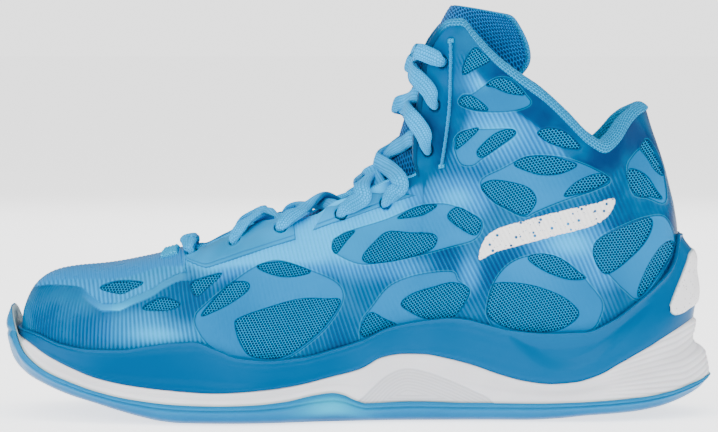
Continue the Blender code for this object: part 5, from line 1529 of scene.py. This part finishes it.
def lace_crossing(k, first, side, old, old_n, near, near_n):
    """Rows of the lace over the tongue, from the last eyelet's side to this one's."""
    up_flap, enters = k >= 5, k in (0, 7)
    lift = 5.6 if first < 0 else 2.7
    if up_flap:
        z = 0.5 * (old[2] + near[2])
        x = tongue_line(1, 2, z)
        mid = np.array([x - lift, centre(x), z])
        out, sd = np.array([-1.0, 0, 0.2]), np.array([0.3, 0, 1.0])
    else:
        x = 0.5 * (old[0] + near[0])
        mid = np.array([x, centre(x), tongue_line(2, 1, x) + lift])
        out, sd = np.array([-0.3, 0, 1.0]), np.array([1.0, 0, 0.5])
    if k == 1:
        q1 = mid + (old - old_n * 4.5 - mid) * 0.5
        q1[1] = mid[1] - side * 3.0
    else:
        q1 = mid + (old - mid) * 0.35
        q1[2] += 1.0 if k < 6 else 0.0
        q1[1] = mid[1] - side * 9.0
    if enters:
        q2 = mid + (near - mid) * 0.35
    else:
        q2 = mid + ((near if up_flap else near - near_n * 4.5) - mid) * 0.5
    q2[1] = mid[1] + side * (9.0 if enters else 8.0)
    return [(q1 + out * 0.6, sd), (mid, sd), (q2 + out * 0.4, sd)]


def lace_half(first):
    """Control rows of one lace half, from the first eyelet up to the eighth, and its tail."""
    rows, side = [], first

    def add(p, sd, w=LACE_W, t=LACE_T):
        rows.append([*p, *sd, w, t])

    for k, (s, dist) in enumerate(EYELETS):
        e, n, along = surface(s, dist, side)
        g, m, _ = surface(OVER_EDGE[k], 1.0, side)
        flap, enters = k >= 5, k in (0, 7)
        low = 1.5 if k == 0 else -1.5 if k < 5 else -1.0
        u, um, _ = surface(s + low, 1.0, side)
        if k > 0:
            near = (g, m) if enters else (u, um)
            for row in lace_crossing(k, first, side, *old, *near):
                add(*row)
        if flap:
            over = [(g + m * 1.2 + np.array([-4.6, 0, 0.46]), along),
                    (0.5 * (g + e) + n * 3.4, along)]
        else:
            g2, m2, _ = surface(OVER_EDGE[k], 3.0, side)
            tip = (g - g2) / np.linalg.norm(g - g2)
            over = [(g + tip * 2.6 + m * 2.6, along), (g2 + m2 * 3.6, along)]
            if k > 0:
                g3, m3, _ = surface(0.5 * (OVER_EDGE[k] + s), 0.5 * dist + 1.0, side)
                over.append((g3 + m3 * 3.4, along))
        hole = [(e + n * 2.7 + (g - e) * 0.16, along, 5.0), (e + n * 0.8, along, 3.8, 2.0),
                (e - n * 2.8, along, 3.8, 2.0), (e - n * 5.7 + (u - e) * 0.25, along, 4.6)]
        if k < 7:
            hole.append((u - um * 6.2 + (np.array([-3.0, 0, 1.5]) if flap else 0), along))
        path = over + hole
        for row in path if enters else reversed(path):
            add(*row)
        old = (u, um) if k == 0 else (g, m)
        side = -side
    for x, y, z in ((36.5, 24.6, 151), (44.5, 25.6, 146.5), (52, 26.4, 139.5), (58.5, 26.6, 130),
                    (62, 26.7, 121)):
        add((x, centre(x) - side * y, z), (0.55, 0, 0.83), 4.6, 2.0)
    return rows


def clear_of_tongue(rows, gap):
    """Lift lace rows that would sink into the tongue's outer face."""
    g, n, _, _, _ = tongue_surface(110, 61)
    q, m = g.reshape(-1, 3), n.reshape(-1, 3)
    for r in rows:
        for _ in range(2):
            d = r[:3] - q
            i = int(np.argmin((d * d).sum(axis=1)))
            high = d[i] @ m[i]
            side = np.linalg.norm(d[i] - high * m[i])
            if high < gap and side < 3:
                r[:3] += m[i] * (gap - high)
    return rows


def lace_rows():
    """Control rows of the whole lace, from one end round to the other."""
    a = lace_half(-1)
    x = a[0][0]
    bar = [[x - 0.5, centre(x) + y, a[0][2] + 1.6 - abs(y) * 0.03, 1.0, 0, 0.2, LACE_W, LACE_T]
           for y in (8.0, 0.0, -8.0)]
    return np.array(list(reversed(lace_half(1))) + bar + a)


def build_lace(mat, tip_mat):
    """The whole lace, and a plastic tip on each end."""
    body = lace_rows()
    fine = clear_of_tongue(spline(body, 12), 0.5 * LACE_T + 0.7)
    fine[:, :3] = blur_open(fine[:, :3].copy(), 6)
    piece(ribbon("lace_weave", fine, mat), ["lace"])
    for end, nxt, word in ((0, 1, "lateral"), (-1, -2, "medial")):
        tip = body[end, :3]
        run = np.linspace(0.2, 18.2, 46)
        path = tip + unit(tip - body[nxt, :3]) * run[:, None]
        size = 1.32 * np.sqrt(np.clip(np.minimum(run + 0.4, 18.9 - run) / 1.2, 0.05, 1))
        sleeve = tube("aglet_sleeve_" + word, path, size[:, None], tip_mat, 18, 0.0)
        piece(sleeve, ["aglet_" + word])


def build_cords(mat, tack):
    """Thin cord down each flap from the collar to the lowest flap eyelet, with tacks."""
    def on_flap(x, z, off):
        return np.array([x, side * (half_plan(x, z) + off) + centre(x), z])

    for side, word in SIDES:
        keys = [on_flap(x, z, 1.15) for x, z in ((38.7, 160.5), (38.8, 152), (38.6, 142),
                                                 (38.2, 131), (36.8, 119), (34.9, 106.5))]
        ob = tube("ankle_cord_braid_" + word, spline(keys, 24), 0.75, mat, 10, 0.1, 2.2)
        piece(ob, ["ankle_cord_" + word])
        for k, (x, z) in enumerate(((38.8, 159.5), (35.0, 107))):
            t = pillow("cord_tack_%s_%d" % (word, k), on_flap(x, z, 0.9), np.array([1.0, 0, 0.2]),
                       np.array([0, 0, 1.0]), np.array([0, side, 0.0]), 1.3, 0.9, 1.3, tack)
            piece(t, [])


def hidden_materials():
    """Finishes of the layers under the film and inside the sole."""
    cloth = fabric_material("base_mesh_cloth", lin(20, 90, 150), lin(90, 176, 222), 1.3)
    felt = plain_material("strobel_felt", lin(206, 204, 198), lin(188, 186, 180), 0.95, 6, 0.6, 0.2)
    foam = plain_material("open_cell_foam", lin(222, 216, 190), lin(204, 196, 166), 0.9, 3, 1.2,
                          0.35)
    pad = plain_material("dyed_foam", lin(20, 110, 176), lin(10, 96, 160), 0.9, 3, 1.2, 0.15)
    gel = plain_material("cushion_rubber", lin(236, 236, 228), lin(206, 214, 214), 0.45, 9, 0.8,
                         0.08, 0.2)
    plate = fabric_material("shank_weave", lin(30, 32, 36), lin(70, 74, 80), 2.6, 0.06)
    board = plain_material("stiffener_sheet", lin(14, 92, 156), lin(8, 74, 132), 0.7, 7, 0.5, 0.1)
    return {"vamp_mesh": cloth, "quarter_mesh_lateral": cloth, "quarter_mesh_medial": cloth,
            "heel_mesh": cloth, "strobel_board": felt, "collar_foam": foam, "tongue_foam": pad,
            "forefoot_cushion": gel, "heel_cushion": gel, "shank_plate": plate,
            "toe_puff": board, "heel_counter": board}


# Soft lights: name, place, aim, width and height, power.
LIGHTS = [("top_soft", (0.0, -0.25, 1.5), (0, 0, 0.06), (1.9, 1.4), 25),
          ("front_soft", (-0.5, -1.6, 0.9), (0, 0, 0.06), (1.5, 1.0), 23),
          ("toe_soft", (-1.3, -0.5, 0.7), (-0.05, 0, 0.06), (0.8, 1.0), 10),
          ("heel_soft", (1.3, -0.3, 0.8), (0.05, 0, 0.08), (0.8, 1.0), 7),
          ("back_soft", (0.0, 1.5, 0.9), (0, 0, 0.08), (1.6, 1.0), 16)]
CAMERA_AT = (0.0004, -1.4, 0.16)
CAMERA_AIM = (0.0004, 0.0, 0.0843)
CAMERA_LENS = 163.5
SKY_LIGHT = 0.35     # strength of the surroundings as a light
SKY_SEEN = 2.3       # and as the camera sees them
FLOOR_GLOW = 1.9
FLOOR_DROP = 0.0004  # keeps the floor just below the sole


def aimed(name, data, at, aim):
    """Light or camera at a place, turned towards another."""
    ob = bpy.data.objects.new(name, data)
    ob.location = at
    ob.rotation_euler = (Vector(aim) - Vector(at)).to_track_quat("-Z", "Y").to_euler()
    bpy.context.scene.collection.objects.link(ob)
    return ob


def area_light(name, at, aim, size, power):
    """White rectangular soft light."""
    data = bpy.data.lights.new(name, "AREA")
    data.shape = "RECTANGLE"
    data.size, data.size_y = size
    data.energy = power
    return aimed(name, data, at, aim)


def build_floor():
    """Pale glowing floor, clear when seen from below."""
    x = np.linspace(-30, 30, 13)
    grid = np.stack(np.broadcast_arrays(x[:, None], x[None], 0 * x[None]), -1) * 1000
    m = Mat("pale_floor", 0.6, tint=WHITE)
    m.set("Base Color", m.two_tone(600, (0.86, 0.86, 0.87, 1), (0.9, 0.9, 0.905, 1), 2.0))
    m.set("Specular IOR Level", 0.1)
    m.set("Emission Color", WHITE)
    m.set("Emission Strength", FLOOR_GLOW)
    m.set("Normal", m.bump(m.noise(3, 2.0), 0.01))
    floor = lay("studio_floor", grid, quads(13, 13), m.m)
    floor.location.z = -FLOOR_DROP
    back = m.t.nodes.new("ShaderNodeNewGeometry").outputs["Backfacing"]
    clear = m.t.nodes.new("ShaderNodeBsdfTransparent")
    shader = m.t.nodes.new("ShaderNodeMixShader")
    for socket, value in zip(shader.inputs, (back, m.b.outputs[0], clear.outputs[0])):
        m.put(socket, value)
    m.put(m.t.nodes["Material Output"].inputs[0], shader.outputs[0])


def build_world():
    """White surroundings, brighter where the camera sees them than as a light."""
    world = bpy.data.worlds.new("studio")
    bpy.context.scene.world = world
    world.use_nodes = True
    tree = world.node_tree
    bg = tree.nodes["Background"]
    bg.inputs[0].default_value = WHITE
    eye = tree.nodes.new("ShaderNodeLightPath").outputs["Is Camera Ray"]
    glow = tree.nodes.new("ShaderNodeMapRange")
    tree.links.new(eye, glow.inputs[0])
    glow.inputs[3].default_value = SKY_LIGHT
    glow.inputs[4].default_value = SKY_SEEN
    tree.links.new(glow.outputs[0], bg.inputs[1])


def build_stage():
    """Pale floor, studio lights and the camera square on to the outer side."""
    build_floor()
    for light in LIGHTS:
        rear = area_light(*light)
    rear.visible_glossy = False
    build_world()
    cam = bpy.data.cameras.new("camera")
    cam.sensor_width = 36.0
    cam.lens = CAMERA_LENS
    bpy.context.scene.camera = aimed("camera", cam, CAMERA_AT, CAMERA_AIM)


def build_films(up):
    """The panels of film, cut out of one surface, and the rolled edge of the throat."""
    deep, mid, light = lin(0, 88, 164), lin(34, 158, 222), lin(98, 199, 244)
    toe = film_material("film_toe", lin(0, 108, 184), lin(20, 144, 212), lin(100, 202, 244))
    vamp = film_material("film_vamp", lin(0, 112, 188), lin(40, 156, 214), lin(112, 204, 242))
    film = film_material("film_quarter", deep, mid, light)
    tape = film_material("film_back", lin(0, 88, 156), mid, light)
    share = (up.d - 17) / (up.d[:, :1] - 17)
    low = 0.5 * (share[:, 1:] + share[:, :-1]) >= 1 / 6
    s0, s1, s2 = 72, 121, 349    # arc positions of the seams between the panels
    front = up.cells(-1, s0)
    panels = [("toe_cap_film", front & low, toe, "toe_film", "film_deep_blue"),
              ("vamp_skin", (front & ~low) | up.cells(s0, s1), vamp, "vamp_film",
               "film_light_blue")]
    panels += [("quarter_skin_" + word, up.cells(s1, s2, side), film, "quarter_film_" + word,
                "film_blue") for side, word in SIDES]
    panels.append(("back_seam_skin", up.cells(s2, 400), tape, "back_seam_tape",
                   "film_deep_blue"))
    for name, mask, mat, node, slot in panels:
        piece(up.sheet(name, mask, mat), [node])
    edge = knit_material("throat_tape", lin(36, 150, 214), lin(110, 200, 238), 0.9, 0.8, 0.12)
    for ob in throat_edge(up, edge):
        piece(ob, [])


def build_eyestays(up, tracks):
    """Lower and upper raised overlay on each side."""
    mat = stay_material()
    count = len(EYELETS)
    for side, word in SIDES:
        holes = up.holes[:count] if side < 0 else up.holes[count:]
        piece(stay_plate("eyestay_lower_" + word, tracks[side], 106, 154, 1.5, 2.0,
                         (89.2, 0.327), holes, mat), ["eyestay_front_" + word])
        piece(stay_plate("eyestay_upper_" + word, tracks[side], 161, 199, 6.0, 8.0,
                         (91.0, 0.347), holes, mat), ["eyestay_rear_" + word])


def build_padding(up):
    """Collar roll and the two linings."""
    roll = build_binding(up, collar_material())
    piece(roll, ["collar_binding"])
    inner = knit_material("lining_knit", lin(62, 160, 218), lin(20, 108, 182), 1.5, 1.2, 0.2)
    inside = Ring(420)
    ob = build_lining("collar_lining_knit", inside, 226, 400, inner)
    piece(ob, ["collar_lining"])
    soft = knit_material("vamp_lining_knit", lin(60, 150, 206), lin(20, 104, 170), 1.4, 1.1, 0.15)
    piece(build_lining("vamp_lining_knit", inside, -1, 226, soft), ["vamp_lining"])


def build_tongue_pieces():
    """Face, back and edging of the tongue, all riding on the tongue's body."""
    back = knit_material("tongue_back_knit", lin(60, 150, 206), lin(20, 104, 170), 1.4, 1.1, 0.15)
    trim = knit_material("tongue_trim_knit", lin(84, 184, 232), lin(44, 148, 210), 1.5, 1.2, 0.2)
    face, rear, edge = build_tongue(tongue_material(), back, trim)
    piece(face, ["tongue_mesh"], "tongue")
    piece(rear, ["tongue_lining"], "tongue")
    piece(edge, ["tongue_binding"], "tongue")


def build_sole():
    """Outsole, midsole, rand with its insert, and the sockliner."""
    ring = Ring(620, 0.0)
    g, _ = upper(ring, 60, 4)
    piece(build_outsole(ring, rubber_material()), ["outsole"])
    piece(build_midsole(ring, g, foam_material()), ["midsole"])
    cage, wall = build_cage(ring, g, rand_material())
    piece(cage, ["midsole_cage"])
    piece(build_insert(ring, wall, insert_material()), ["heel_insert"])
    sock = knit_material("sockliner_knit", lin(40, 130, 196), lin(12, 90, 158), 1.6, 1.3, 0.15)
    piece(build_sock(sock), ["sockliner"], "sockliner_body")


def main():
    """Build every visible piece, then finish the hidden solids."""
    up = Upper()
    tracks = {side: Track(up, side) for side, _ in SIDES}
    build_films(up)
    build_eyestays(up, tracks)
    web = fabric_material("webbing_weave", lin(46, 158, 216), lin(120, 208, 242), 0.9, 0.18)
    piece(build_loop(tracks, web), ["vamp_loop"])
    build_padding(up)
    build_tongue_pieces()
    build_lace(lace_material(), plain_material(
        "aglet_sleeve", lin(96, 196, 236), lin(60, 170, 220), 0.3, 5, 0.6, 0.03))
    cord = knit_material("cord_braid", lin(90, 190, 236), lin(50, 156, 214), 0.8, 0.6, 0.1)
    build_cords(cord, web)
    build_sole()
    for node, mat in hidden_materials().items():
        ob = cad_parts[node]
        ob.data.materials.clear()
        ob.data.materials.append(mat)


SPARSE = Ring(120, 0.0)
build_stage()
main()
